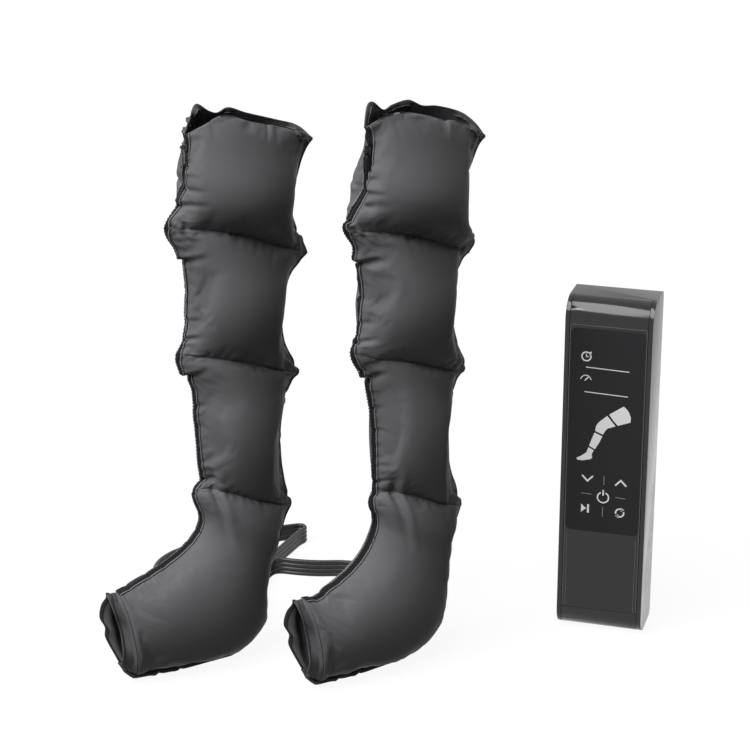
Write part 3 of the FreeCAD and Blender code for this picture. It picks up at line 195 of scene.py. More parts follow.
@dataclass(frozen=True)
class RibbedTape(WovenCloth):
    """Grosgrain or zipper tape: ribs across the tape's length."""

    def height(self, tree: bpy.types.NodeTree, place: bpy.types.NodeSocket) -> bpy.types.NodeSocket:
        """Relief of the ribs: one sine wave along the tape."""
        return self.wave(tree, place, "Y")


# Polyurethane-coated nylon taffeta: a fine weave under a satin coat, so a soft broad light, no gloss.
SLEEVE_NYLON = WovenCloth("coated_nylon_taffeta", "#68686a", 0.50, specular=0.05, drift=0.04,
                          drift_mm=40.0, grain_mm=1.8, relief_mm=0.035, smudge=0.03, thread_mm=1.1)
# Folded nylon edge binding: ribbed, a shade lighter than the cloth.
EDGE_BINDING = RibbedTape("folded_edge_binding", "#545456", 0.6, sheen=0.06, relief_mm=0.12, thread_mm=1.6,
                          specular=0.15)
# Woven polyester zipper tape: flat black, with ribs across it.
ZIP_TAPE = RibbedTape("zipper_tape_weave", "#101011", 0.85, relief_mm=0.1, thread_mm=1.3, specular=0.25)
# Bonded polyester sewing thread: a pale fine line, dull.
THREAD = Finish("sewing_thread", "#77777a", 0.65, drift=0.12, drift_mm=3.0, grain_mm=0.5, relief_mm=0.05)
# Coated base cloth under the foot: black with a dull shine.
SOLE_CLOTH = WovenCloth("coated_sole_cloth", "#1c1c1d", 0.6, relief_mm=0.06, specular=0.35)
# Moulded nylon zipper teeth: a little shinier than their tape.
ZIP_TEETH = Finish("moulded_zipper_teeth", "#141415", 0.45, relief_mm=0.01)
# Painted die-cast zinc slider: smooth black under a thin gloss.
ZIP_METAL = Finish("painted_zinc", "#19191b", 0.35, coat=0.3, relief_mm=0.006, grain_mm=0.8)
# Flexible PVC tubing: extruded, so satin with faint lines along its length.
HOSE_PVC = RibbedTape("extruded_flexible_pvc", "#1d1d1f", 0.38, relief_mm=0.01, thread_mm=2.2, specular=0.5)
# Moulded nylon connector: spark-textured, so a dull even black.
CONNECTOR = Finish("moulded_nylon_connector", "#1b1b1d", 0.42, grain_mm=0.9, relief_mm=0.02)
# Piano-black ABS housing: polished in the mould, near mirror with the faintest waviness.
CASE_ABS = Finish("polished_black_abs", "#0c0c0d", 0.13, ior=1.52, grain_mm=14.0, relief_mm=0.01, smudge=0.03,
                  drift=0.05)
FACE_ACRYLIC = Finish("black_backed_acrylic", "#131314", 0.10, ior=1.49, grain_mm=20.0, relief_mm=0.008,
                      smudge=0.02, drift=0.05)
# Printed polyester overlay with a velvet texture: a shade lighter than the plate and without its gloss.
LABEL_FILM = Finish("velvet_polyester_overlay", "#1e1e20", 0.55, specular=0.2, grain_mm=0.5, relief_mm=0.02,
                    drift=0.03)
# Screen-printed inks: flat opaque white and grey.
PRINT_WHITE = Finish("screen_printed_white", "#f2f2f2", 0.6, drift=0.02, relief_mm=0.0, specular=0.3)
PRINT_GREY = Finish("screen_printed_grey", "#8f8f91", 0.6, drift=0.02, relief_mm=0.0, specular=0.3)
# Painted highlight: thin grey lines that stand for the light caught along the satin black trim's edges.
TRIM_HIGHLIGHT = Finish("painted_trim_highlight", "#6c6c6f", 0.3, drift=0.03, relief_mm=0.004)
# Silicone rubber foot: matt black.
FOOT_RUBBER = Finish("silicone_rubber_foot", "#1a1a1a", 0.7, grain_mm=0.8, relief_mm=0.03)
# Zinc-plated steel screws and shafts, and the motor's drawn can, greyer: metal with a soft gloss.
BRIGHT_STEEL = Finish("zinc_plated_steel", "#b9babd", 0.3, metallic=1.0, grain_mm=0.3, relief_mm=0.004)
MOTOR_STEEL = Finish("drawn_steel_can", "#9b9da0", 0.38, metallic=1.0, grain_mm=0.5, relief_mm=0.006)
# Solder mask on glass epoxy: green with a satin shine.
BOARD_GREEN = Finish("solder_mask_on_glass_epoxy", "#1d5a34", 0.4, grain_mm=0.7, relief_mm=0.015)
# Smoked display lens: near black and glossy.
DISPLAY_DARK = Finish("smoked_display_lens", "#0b0d12", 0.12, grain_mm=8.0, relief_mm=0.004)
# Moulded components on the boards: dull black.
BLACK_PART = Finish("moulded_black_component", "#17171a", 0.5, grain_mm=0.5, relief_mm=0.02)
# Natural nylon mouldings of the air pump: warm off-white, satin.
PUMP_NYLON = Finish("natural_nylon_moulding", "#d6d2c6", 0.45, grain_mm=1.2, relief_mm=0.02)
# Translucent silicone tubes and diaphragm: milky, with a soft shine.
SOFT_SILICONE = Finish("translucent_silicone", "#cfcfca", 0.4, grain_mm=2.0, relief_mm=0.01)

SLOT_FINISHES = {
    "bright_steel": BRIGHT_STEEL, "board_green": BOARD_GREEN, "display_dark": DISPLAY_DARK,
    "component_black": BLACK_PART, "pump_plastic": PUMP_NYLON, "soft_rubber": SOFT_SILICONE,
    "motor_steel": MOTOR_STEEL, "foot_rubber": FOOT_RUBBER, "case_gloss": CASE_ABS,
    "face_gloss": FACE_ACRYLIC, "label_matte": LABEL_FILM, "sleeve_nylon": SLEEVE_NYLON,
    "binding_fabric": EDGE_BINDING, "sole_fabric": SOLE_CLOTH, "zip_tape": ZIP_TAPE,
    "zip_metal": ZIP_METAL, "hose_rubber": HOSE_PVC, "connector_plastic": CONNECTOR,
}
MATERIALS: dict[str, bpy.types.Material] = {}


def material_of(finish: Finish) -> bpy.types.Material:
    """The finish's material, made once.

    Args:
        finish: the finish.

    Returns:
        The material that every piece of this finish shares.
    """
    if finish.name not in MATERIALS:
        MATERIALS[finish.name] = finish.build()
    return MATERIALS[finish.name]


# ---------------------------------------------------------------- surfaces

def unit(vectors: Array) -> Array:
    """Vectors of length one along the last axis."""
    return vectors / np.maximum(np.linalg.norm(vectors, axis=-1, keepdims=True), 1e-12)


def tangents(line: Array) -> Array:
    """Unit vectors along a line, one for each of its points."""
    return unit(np.gradient(line, axis=0))


def eased(count: int, share: float) -> Array:
    """Numbers from 0 to 1, closer together towards both ends: (1 - share) x + share (1 - cos(pi x)) / 2."""
    even = np.linspace(0, 1, count + 1)
    return (1 - share) * even + share / 2 * (1 - np.cos(math.pi * even))


def mesh_piece(name: str, points: Array, faces: list, uvs: Array | None = None, smooth: bool = True) -> Piece:
    """Put points and faces into a new object at the origin.

    Args:
        name: the piece's name.
        points: corners in metres, in any array shape that ends in three.
        faces: corner numbers of each face.
        uvs: one pair for each face corner, in metres along the surface.
        smooth: whether the faces are shaded smooth.

    Returns:
        The new object.
    """
    mesh = bpy.data.meshes.new(name)
    mesh.from_pydata(points.reshape(-1, 3).tolist(), [], faces)
    if uvs is not None:
        mesh.uv_layers.new(name="surface").data.foreach_set("uv", uvs.astype(np.float32).ravel())
    mesh.polygons.foreach_set("use_smooth", np.full(len(mesh.polygons), smooth))
    made = bpy.data.objects.new(name, mesh)
    bpy.context.scene.collection.objects.link(made)
    return made


def grid_piece(name: str, points: Array, wrap_rows: bool = False, wrap_cols: bool = False,
               caps: bool = False, smooth: bool = True) -> Piece:
    """Surface over a grid of points: each cell is one quad that faces row step times column step.

    The UV map holds the mean arc lengths in metres, along the columns' way first.

    Args:
        name: the piece's name.
        points: rows by columns by three, in metres.
        wrap_rows: whether the last row joins the first.
        wrap_cols: whether the last column joins the first.
        caps: whether the first and last rows are closed with a face each.
        smooth: whether the faces are shaded smooth.

    Returns:
        The new object.
    """
    rows, cols = points.shape[:2]
    row = np.arange(rows if wrap_rows else rows - 1)[:, None]
    col = np.arange(cols if wrap_cols else cols - 1)[None, :]
    steps = ((0, 0), (1, 0), (1, 1), (0, 1))
    corners = np.stack([(row + i) % rows * cols + (col + j) % cols for i, j in steps], -1).reshape(-1, 4)
    around = np.concatenate([points, points[:1]]) if wrap_rows else points
    along = np.concatenate([points, points[:, :1]], 1) if wrap_cols else points
    u = np.concatenate([[0], np.cumsum(np.linalg.norm(np.diff(along, axis=1), axis=-1).mean(0))])
    v = np.concatenate([[0], np.cumsum(np.linalg.norm(np.diff(around, axis=0), axis=-1).mean(1))])
    pairs = np.stack([np.stack(np.broadcast_arrays(u[col + j], v[row + i]), -1) for i, j in steps], -2)
    pairs = pairs.reshape(-1, 2)
    faces = corners.tolist()
    if caps:
        faces += [list(range(cols)), list(range(rows * cols - 1, (rows - 1) * cols - 1, -1))]
        pairs = np.concatenate([pairs, np.zeros((2 * cols, 2))])
    return mesh_piece(name, points, faces, pairs, smooth)


def outward(piece: Piece) -> Piece:
    """Turn a closed piece's faces so that they point out of it.

    Args:
        piece: the closed piece.

    Returns:
        The same piece.
    """
    work = bmesh.new()
    work.from_mesh(piece.data)
    bmesh.ops.recalc_face_normals(work, faces=work.faces)
    work.to_mesh(piece.data)
    work.free()
    return piece


def sweep(name: str, path: Array, side: Array, up: Array, profile: Array, closed: bool = False) -> Piece:
    """Carry a closed profile along a path: point = path + profile x times side + profile y times up.

    Args:
        name: the piece's name.
        path: points along the path, in metres.
        side: unit vectors for the profile's first axis, one for each path point.
        up: unit vectors for its second axis.
        profile: points by two, or path points by points by two, in metres.
        closed: whether the path's end joins its start.

    Returns:
        The closed piece, facing outward.
    """
    shape = profile if profile.ndim == 3 else np.broadcast_to(profile, (len(path), *profile.shape))
    points = path[:, None] + shape[..., :1] * side[:, None] + shape[..., 1:] * up[:, None]
    return outward(grid_piece(name, points, wrap_rows=closed, wrap_cols=True, caps=not closed))


def rounded_profile(wide: float, tall: float, count: int = 16, power: float = 3.0) -> Array:
    """Closed superellipse: |x/a|^n + |y/b|^n = 1, n being the power.

    Args:
        wide: size along the first axis, 2a.
        tall: size along the second axis, 2b.
        count: how many points.
        power: 2 gives an ellipse, more gives fuller corners.

    Returns:
        Points by two, in the unit of the sizes.
    """
    angle = np.linspace(0, 2 * math.pi, count, endpoint=False)
    c, s = np.cos(angle), np.sin(angle)
    return np.stack([np.sign(c) * np.abs(c) ** (2 / power) * wide / 2,
                     np.sign(s) * np.abs(s) ** (2 / power) * tall / 2], -1)


def through(points: Array, at: Array) -> Array:
    """Smooth line through points at whole numbers: Catmull-Rom's cubic between each two of them.

    Args:
        points: the points, by any number of values.
        at: where to read it, from 0 to the last point's number.

    Returns:
        One row for each place.
    """
    padded = np.concatenate([[2 * points[0] - points[1]], points, [2 * points[-1] - points[-2]]])
    start = np.clip(at.astype(int), 0, len(points) - 2)
    f = (at - start)[:, None]
    a, b, c, d = (padded[start + step] for step in range(4))
    square, cube = 2 * a - 5 * b + 4 * c - d, 3 * b - a - 3 * c + d
    return 0.5 * (2 * b + (c - a) * f + square * f ** 2 + cube * f ** 3)


def at_distance(lines: Array, values: Array, distances: Array) -> Array:
    """Values read at given distances along each of several lines.

    Args:
        lines: lines by points by three; distances are measured on these from each line's start.
        values: lines by points by three, what is read, linearly between points.
        distances: the distances, in the lines' unit: the same for all lines, or a row for each.

    Returns:
        Lines by distances by three.
    """
    reach = np.concatenate([np.zeros((len(lines), 1)),
                            np.cumsum(np.linalg.norm(np.diff(lines, axis=1), axis=-1), 1)], 1)
    wanted = np.broadcast_to(distances, (len(lines), distances.shape[-1]))
    low = np.clip((reach[:, None, :] <= wanted[..., None]).sum(-1) - 1, 0, lines.shape[1] - 2)
    first, last = np.take_along_axis(reach, low, 1), np.take_along_axis(reach, low + 1, 1)
    share = ((wanted - first) / np.maximum(last - first, 1e-9))[..., None]
    start = np.take_along_axis(values, low[..., None], 1)
    return start + (np.take_along_axis(values, low[..., None] + 1, 1) - start) * share


def edge_ring(near: Sequence[Sequence[float]], far: Sequence[Sequence[float]], shares: Array) -> Array:
    """Closed ring through chosen points: out along the near edge and home along the far one.

    Args:
        near: share of the width, then X, Y and Z, for points of the near edge.
        far: the same for the far edge.
        shares: where the near side's columns are, from 0 to 1.

    Returns:
        One point for each column of the ring, read from a smooth line through the points.
    """
    parts = []
    for points, at in ((near, shares), (far, shares[-2:0:-1])):
        table = np.array(points)
        smooth = through(table, np.linspace(0, len(table) - 1, 160))
        parts.append(np.stack([np.interp(at, smooth[:, 0], smooth[:, axis]) for axis in (1, 2, 3)], -1))
    return np.concatenate(parts)


def grid_normals(points: Array) -> Array:
    """Unit normals of a grid that wraps along its columns: row step times column step.

    Args:
        points: rows by columns by three.

    Returns:
        A unit vector for each point.
    """
    down = np.gradient(points, axis=0)
    across = np.roll(points, -1, 1) - np.roll(points, 1, 1)
    return unit(np.cross(down, across))


def respaced(line: Array, pitch: float) -> Array:
    """Points at an even pitch along a line.

    Args:
        line: points by any number of values.
        pitch: distance between two points of the result, along the line.

    Returns:
        The new points, read linearly between the old ones.
    """
    reach = np.concatenate([[0], np.cumsum(np.linalg.norm(np.diff(line, axis=0), axis=-1))])
    at = np.arange(0, reach[-1], pitch)
    return np.stack([np.interp(at, reach, line[:, axis]) for axis in range(line.shape[1])], -1)


def dress(piece: Piece, finish: Finish, body: str = "kit", replaces: Sequence[str] = ()) -> Piece:
    """Give a new piece its finish, its body and the solids that it stands for.

    Args:
        piece: the new piece.
        finish: what it is made of.
        body: the body that it moves with.
        replaces: names of the CAD nodes that it stands for.

    Returns:
        The same piece.
    """
    piece.data.materials.clear()
    piece.data.materials.append(material_of(finish))
    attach(piece, body)
    if replaces:
        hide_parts(*replaces)
    LOG.info("%s: %d faces", piece.name, len(piece.data.polygons))
    return piece


def refine(piece: Piece, levels: int = 1) -> Piece:
    """Subdivision surface, alike in view and render.

    Args:
        piece: the piece.
        levels: how often each face is divided.

    Returns:
        The same piece.
    """
    modifier = piece.modifiers.new("rounding", "SUBSURF")
    modifier.levels = modifier.render_levels = levels
    return piece


# ---------------------------------------------------------------- pump unit

@dataclass
class PumpUnit:
    """The upright pump case with its panel, and the solids inside it."""

    label_left: float = -54.5
    label_top: float = 479.7
    label_front: float = -43.3
    print_mm: float = 0.08
    face_half: float = 56.5
    face_low: float = 39.0
    face_high: float = 485.0
    face_front: float = -43.0
    border_in: float = 1.1
    line_in: float = 4.2
    line_end: float = 322.0
    merge_mm: float = 0.02
    flat_degrees: float = 0.4
    edge_degrees: float = 32.0
    marks: list = field(default_factory=list)

    def soften(self, node: str, width_mm: float, finish: Finish) -> Piece:
        """Copy a solid with its doubles merged and its edges broken by a small radius.

        Args:
            node: the CAD node's name.
            width_mm: how wide the broken edge is.
            finish: what the copy is made of.

        Returns:
            The copy, which stands for the solid.
        """
        piece = bpy.data.objects.new(f"{node}_dressed", frame["nodes"][node].data.copy())
        bpy.context.scene.collection.objects.link(piece)
        work = bmesh.new()
        work.from_mesh(piece.data)
        bmesh.ops.remove_doubles(work, verts=work.verts, dist=self.merge_mm * MM)
        bmesh.ops.dissolve_limit(work, angle_limit=math.radians(self.flat_degrees), verts=work.verts,
                                 edges=work.edges)
        work.to_mesh(piece.data)
        work.free()
        piece.data.polygons.foreach_set("use_smooth", np.ones(len(piece.data.polygons), bool))
        bevel = piece.modifiers.new("edge_break", "BEVEL")
        bevel.width = width_mm * MM
        bevel.segments = 3
        bevel.limit_method = "ANGLE"
        bevel.angle_limit = math.radians(self.edge_degrees)
        bevel.harden_normals = True
        bevel.use_clamp_overlap = True
        return dress(piece, finish, replaces=[node])

    def case(self) -> None:
        """Housing, cover, face plate, overlay and foot, each with the width of its broken edge."""
        for node, width_mm, slot in (("rear_housing", 1.2, "case_gloss"), ("front_cover", 0.5, "case_gloss"),
                                     ("face_plate", 0.35, "face_gloss"), ("touch_label", 0.1, "label_matte"),
                                     ("base_pad", 0.4, "foot_rubber")):
            self.soften(node, width_mm, SLOT_FINISHES[slot])

    def works(self) -> None:
        """Give every solid the finish of its own material slot."""
        for row in frame["record"]["subparts"]:
            solid = frame["nodes"][row["node"]]
            solid.data.materials.clear()
            solid.data.materials.append(material_of(SLOT_FINISHES[row["material_slot"]]))

    def stroke(self, points: Sequence[tuple[float, float]], wide: float, closed: bool = False) -> None:
        """Add a drawn line of even width: each point is moved half the width along the mitre.

        Args:
            points: the line's points on the label, in millimetres right of and below its corner.
            wide: the line's width.
            closed: whether the last point joins the first.
        """
        line = np.array(points, float)
        ahead = np.roll(line, -1, 0) - line
        behind = line - np.roll(line, 1, 0)
        if not closed:
            ahead[-1], behind[0] = behind[-1], ahead[0]
        one, two = unit(behind), unit(ahead)
        mitre = unit(one + two)
        normal = np.stack([-mitre[:, 1], mitre[:, 0]], -1)
        stretch = 1 / np.maximum((mitre * one).sum(-1), 0.5)
        left = line + normal * (wide / 2 * stretch)[:, None]
        right = line - normal * (wide / 2 * stretch)[:, None]
        count = len(line)
        for at in range(count if closed else count - 1):
            after = (at + 1) % count
            self.marks.append([tuple(left[at]), tuple(left[after]), tuple(right[after]), tuple(right[at])])

    def arc(self, centre: tuple[float, float], radius: float, first: float, last: float,
            wide: float, count: int = 28) -> None:
        """Add a circular line, its angles in degrees from the right: centre + radius (cosine, sine)."""
        angle = np.radians(np.linspace(first, last, count))
        self.stroke(list(zip(centre[0] + radius * np.cos(angle), centre[1] - radius * np.sin(angle))), wide)

    def fill(self, points: Sequence[tuple[float, float]]) -> None:
        """Add a filled outline."""
        self.marks.append(list(points))

    def printed(self, name: str, finish: Finish, front: float) -> None:
        """Turn the collected marks to one piece of thin closed prints on the panel.

        Args:
            name: the piece's name.
            finish: its ink.
            front: depth of the surface that it is printed on.
        """
        points, faces = [], []
        for mark in self.marks:
            flat = np.array(mark, float)
            turn = (flat[:, 0] * np.roll(flat[:, 1], -1) - np.roll(flat[:, 0], -1) * flat[:, 1]).sum()
            flat = flat if turn > 0 else flat[::-1]
            start, count = len(points), len(flat)
            for depth in (front - self.print_mm, front):
                points += [((self.label_left + u) * MM, depth * MM, (self.label_top - v) * MM)
                           for u, v in flat]
            back, ahead = start + np.arange(count), start + count + np.arange(count)
            faces += [back.tolist(), ahead[::-1].tolist()]
            faces += np.stack([np.roll(back, -1), back, ahead, np.roll(ahead, -1)], -1).tolist()
        dress(outward(mesh_piece(name, np.array(points), faces, smooth=False)), finish)
        self.marks.clear()

    def symbols(self) -> None:
        """Symbols of the touch panel: clock, gauge, leg, arrows, power, start and cycle, and their lines."""
        self.arc((23.5, 42.6), 6.6, 60, 400, 1.9)
        self.fill([(26.2, 36.6), (30.0, 39.8), (31.2, 34.6)])
        self.stroke([(23.5, 38.6), (23.5, 42.8), (27.0, 42.8)], 1.3)
        self.stroke([(23.2, 58.8), (86.6, 60.6)], 1.3)
        self.arc((23.8, 79.0), 7.6, 8, 172, 1.3)
        self.stroke([(22.2, 79.4), (27.6, 73.8)], 1.7)
        self.stroke([(22.4, 96.6), (85.8, 98.6)], 1.3)
        self.stroke([(23.0, 226.6), (31.2, 235.0), (39.2, 226.6)], 2.4)
        self.stroke([(72.4, 237.6), (80.6, 229.2), (88.8, 237.6)], 2.4)
        self.arc((55.1, 258.8), 8.2, 115, 425, 2.0)
        self.stroke([(55.1, 246.8), (55.1, 255.6)], 2.2)
        self.fill([(23.0, 272.2), (23.0, 285.4), (30.4, 278.8)])
        self.stroke([(33.4, 272.2), (33.4, 285.4)], 3.0)
        self.arc((80.6, 280.4), 6.0, 40, 200, 2.2)
        self.arc((80.6, 280.4), 6.0, 220, 380, 2.2)
        self.fill([(82.2, 272.0), (82.4, 278.2), (87.4, 275.4)])
        self.fill([(79.0, 288.8), (78.8, 282.6), (73.8, 285.4)])
        self.leg()
        self.printed("panel_symbols", PRINT_WHITE, self.label_front)
        self.stroke([(55.6, 224.8), (55.6, 238.6)], 1.0)
        self.stroke([(55.1, 273.8), (55.1, 289.5)], 1.0)
        self.stroke([(22.8, 255.0), (37.8, 255.6)], 1.0)
        self.stroke([(73.4, 256.6), (87.8, 257.2)], 1.0)
        self.printed("panel_ticks", PRINT_GREY, self.label_front)

    def leg(self) -> None:
        """A plain pictogram of a bent leg in four parts, one for each chamber of a sleeve."""
        self.fill([(59.6, 128.2), (80.4, 113.8), (84.0, 116.4), (88.4, 122.2), (91.4, 129.6), (91.2, 137.2),
                   (73.0, 144.2), (66.0, 137.0)])
        self.fill([(44.0, 142.6), (56.8, 130.4), (63.4, 138.2), (69.6, 145.4), (58.6, 149.8), (55.0, 153.4),
                   (51.8, 160.2), (45.8, 158.0), (40.0, 155.6), (41.0, 148.0)])
        self.fill([(39.2, 158.2), (45.2, 160.8), (50.8, 163.2), (46.4, 173.6), (40.6, 184.2), (31.8, 179.6),
                   (35.0, 169.8)])
        self.fill([(31.0, 182.0), (38.8, 186.2), (36.2, 192.4), (37.0, 198.0), (34.8, 200.4), (24.0, 203.4),
                   (15.6, 203.6), (13.6, 200.8), (21.0, 196.4), (28.0, 190.4)])

    def trim(self) -> None:
        """Hair-thin grey border lines on the plate beside and above the overlay: a painted highlight along
        the black trim's edges.
        """
        near, reach = self.border_in, self.line_in
        left, right = -self.face_half - self.label_left + near, self.face_half - self.label_left - near
        top, low = self.label_top - self.face_high + near, self.label_top - self.face_low - near
        self.stroke([(left, low), (left, top), (right, top), (right, low)], 0.55)
        self.stroke([(left + reach, low), (left + reach, self.line_end)], 0.45)
        self.stroke([(right - reach, low), (right - reach, self.line_end)], 0.45)
        # The border lines' grey is a painted highlight, not the trim's own black.
        self.printed("panel_border_highlight", TRIM_HIGHLIGHT, self.face_front)

    def build(self) -> None:
        """Dress the whole unit."""
        self.works()
        self.case()
        self.symbols()
        self.trim()


# ---------------------------------------------------------------- leg sleeves

class Side(Enum):
    """Which of the pair a sleeve is."""

    LEFT = "left"
    RIGHT = "right"


@dataclass(frozen=True)
class Chamber:
    """One inflated chamber between two welded seams.

    Its edges are drawn in from the straight lines between the seams' ends, by so many millimetres at
    each of the sleeve's shares. Less near the ends leaves an ear at each seam. Slip is how far the
    zipper tape lies round to the far side.
    """

    name: str
    upper: str
    lower: str
    half: float
    slip: float
    rows: int
    front_in: tuple[float, ...]
    back_in: tuple[float, ...]


@dataclass(frozen=True)
class Pleat:
    """A short sharp fold in the skin, from an edge or a seam inward.

    Start and end are given as share down the chamber and share across it; a negative share across is
    on the far side.
    """

    chamber: str
    start: tuple[float, float]
    end: tuple[float, float]
    deep: float
    wide: float


SHARES = np.array([0.0, 0.05, 0.1, 0.16, 0.22, 0.3, 0.4, 0.5, 0.6, 0.7, 0.78, 0.85, 0.91, 0.96, 1.0])


@dataclass
class Sleeve:
    """One inflated leg sleeve: a tube of coated nylon, welded flat at its seams and blown up between them.

    Place holds X, Y and the turn in degrees. A seam has its front end, its back end and its half
    thickness, and an arch has its rise and its lean along the seam. The rim's binding has its thickness,
    its width, and how far below the rim its middle and its stitches lie. The weld's margin has its
    stand-off, its width and its thickness. The sole's width goes by the share of its length, and its
    thickness and how far it hangs below the skin's edge go by its height.
    """

    side: Side
    place: tuple[float, float, float]
    lean: float
    chambers: tuple[Chamber, ...]
    rim_near: list[tuple[float, float, float, float]]
    rim_far: list[tuple[float, float, float, float]]
    seed: int
    seams: dict = field(default_factory=lambda: {
        "top": ((4.0, 785.0), (188.0, 745.0), 29.0),
        "thigh": ((-32.0, 665.0), (186.0, 596.0), 27.0),
        "knee": ((-23.0, 483.0), (169.0, 420.0), 27.0),
        "calf": ((10.0, 266.0), (154.0, 218.0), 27.0),
        "toe": ((-126.0, 146.5), (-105.0, 13.0), 30.0),
    })
    arches: dict = field(default_factory=lambda: {
        "top": (0.0, 1.0), "thigh": (13.0, 0.8), "knee": (9.0, 0.8), "calf": (15.0, 0.45), "toe": (0.0, 1.0)})
    foot_backs: tuple = ((154.0, 218.0), (142.0, 162.0), (132.0, 98.0), (110.0, 38.0), (48.0, 9.0),
                         (-24.0, 9.0), (-105.0, 13.0))
    foot_halves: tuple = (27.0, 40.0, 47.0, 54.0, 54.0, 46.0, 30.0)
    ankle_rise: float = 7.0
    half_columns: int = 64
    seam_reach: float = 0.16
    channel_edge: float = 17.0
    channel_half: float = 20.0
    toe_channel: tuple[float, float] = (9.0, 22.0)
    lining_rows: tuple[int, ...] = (14, 6, 0)
    cloth_mm: float = 1.6
    pucker: float = 0.7
    pucker_waves: tuple[int, ...] = (7, 11, 17, 23, 31)
    pucker_rows: float = 3.0
    rim_binding: tuple[float, float, float, float] = (2.6, 9.0, 3.2, 6.2)
    slack: float = 0.03
    cap_mm: float = 7.0
    air_frames: int = 16
    slider_travel: float = 18.0
    slider_room: float = 3.4
    press_half: float = 11.0
    slip_levels: tuple[float, float] = (670.0, 725.0)
    tape_half: float = 7.0
    tape_points: int = 11
    tape_back: float = 0.5
    tape_columns: int = 16
    stitch_out: float = 1.3
    tooth_pitch: float = 2.6
    tooth_size: tuple[float, float, float] = (0.85, 1.7, 0.7)
    tooth_out: float = 1.55
    tooth_aside: float = 0.7
    tooth_smooth: int = 13
    weld_margin: tuple[float, float, float] = (0.9, 3.6, 1.5)
    sole_shares: tuple[float, ...] = (0.0, 0.13, 0.3, 0.7, 0.85, 1.0)
    sole_wide: tuple[float, ...] = (3.0, 8.0, 10.0, 10.0, 7.0, 2.5)
    sole_levels: tuple[float, float] = (9.0, 25.0)
    sole_tall: tuple[float, float] = (8.2, 5.0)
    sole_hang: tuple[float, float] = (4.6, 1.6)
    sole_start: float = 0.44
    sole_toe: tuple = ((-117.0, 22.0), (-125.0, 36.0))
    thread_mm: float = 1.9
    skin: Array = field(init=False)
    spans: dict[str, tuple[int, int]] = field(init=False, default_factory=dict)
    row_shares: dict[str, Array] = field(init=False, default_factory=dict)
    seam_rows: list[int] = field(init=False)

    def label(self, name: str) -> str:
        """A piece's name with the sleeve's side before it."""
        return f"{self.side.value}_{name}"

    def turned(self, vectors: Array, way: float = 1.0) -> Array:
        """Directions turned by the sleeve's own turn about the upright axis.

        Args:
            vectors: directions of the sleeve's own frame.
            way: 1 turns to the row frame, and -1 turns back.

        Returns:
            The turned directions.
        """
        turn = math.radians(self.place[2])
        c, s = math.cos(turn), way * math.sin(turn)
        return np.stack([vectors[..., 0] * c - vectors[..., 1] * s,
                         vectors[..., 0] * s + vectors[..., 1] * c, vectors[..., 2]], -1)

    def world(self, points: Array) -> Array:
        """Points of the sleeve's own frame, in millimetres, as row-frame points in metres."""
        return (self.turned(points) + [*self.place[:2], 0.0]) * MM

    def node_reach(self, name: str) -> Array:
        """Lowest and highest corner of one of the sleeve's CAD nodes, in the sleeve's own frame.

        Args:
            name: the node's name after the side.

        Returns:
            A 2 by 3 array in millimetres.
        """
        mesh = frame["nodes"][self.label(name)].data
        flat = np.zeros(len(mesh.vertices) * 3, np.float32)
        mesh.vertices.foreach_get("co", flat)
        own = self.turned(flat.reshape(-1, 3) / MM - [*self.place[:2], 0.0], -1.0)
        return np.stack([own.min(0), own.max(0)])

    def leant(self, point: tuple[float, float]) -> Array:
        """A seam point moved forward in proportion to its height above the ankle."""
        return np.array([point[0] - self.lean * max(point[1] - self.seams["calf"][0][1], 0.0), point[1]])

    def columns(self) -> Array:
        """Shares of the chord at the near side's columns: closer together towards both edges."""
        return eased(self.half_columns, 0.6)

    def ring_shares(self) -> Array:
        """Shares of the chord all round a ring: out along the near side and home on the far side."""
        near = self.columns()
        return np.concatenate([near, near[-2:0:-1]])

    def chamber_rows(self, chamber: Chamber) -> Array:
        """Shares of a chamber's rows, closer together towards both seams."""
        return eased(chamber.rows, 0.45)

    def row_at(self, chamber: str, share: float) -> int:
        """The skin's row nearest to a share of a chamber."""
        return self.spans[chamber][0] + int(np.argmin(np.abs(self.row_shares[chamber] - share)))

    def rings(self, front: Array, back: Array, half: Array, power: Array) -> Array:
        """Closed rings from the front edge along the near side to the back edge and home on the far side.

        At share c of the chord a ring stands off it by half times (4c(1 - c)) to the power.

        Args:
            front: the front edge's X and Z, one row for each ring.
            back: the back edge's X and Z.
            half: half thickness of each ring.
            power: 0.5 gives an ellipse, and more gives sharper edges.

        Returns:
            Rings by columns by three.
        """
        c = self.ring_shares()
        way = np.where(np.arange(len(c)) <= self.half_columns, -1.0, 1.0)
        chord = front[:, None] + (back - front)[:, None] * c[None, :, None]
        swell = way * half[:, None] * (4 * c * (1 - c))[None] ** power[:, None]
        return np.stack([chord[..., 0], swell, chord[..., 1]], -1)

    def drawn_in(self, front: Array, back: Array, chamber: Chamber, t: Array) -> tuple[Array, Array]:
        """Both edge lines moved towards each other by the chamber's two tables, read smoothly at t.

        Args:
            front: the front line's X and Z at each share.
            back: the back line's.
            chamber: the chamber whose tables are read.
            t: the shares from seam to seam.

        Returns:
            The new front and back lines.
        """
        place = np.interp(t, SHARES, np.arange(len(SHARES)))
        across = unit(back - front)
        fore, aft = (through(np.array(table)[:, None], place)
                     for table in (chamber.front_in, chamber.back_in))
        return front + across * fore, back - across * aft

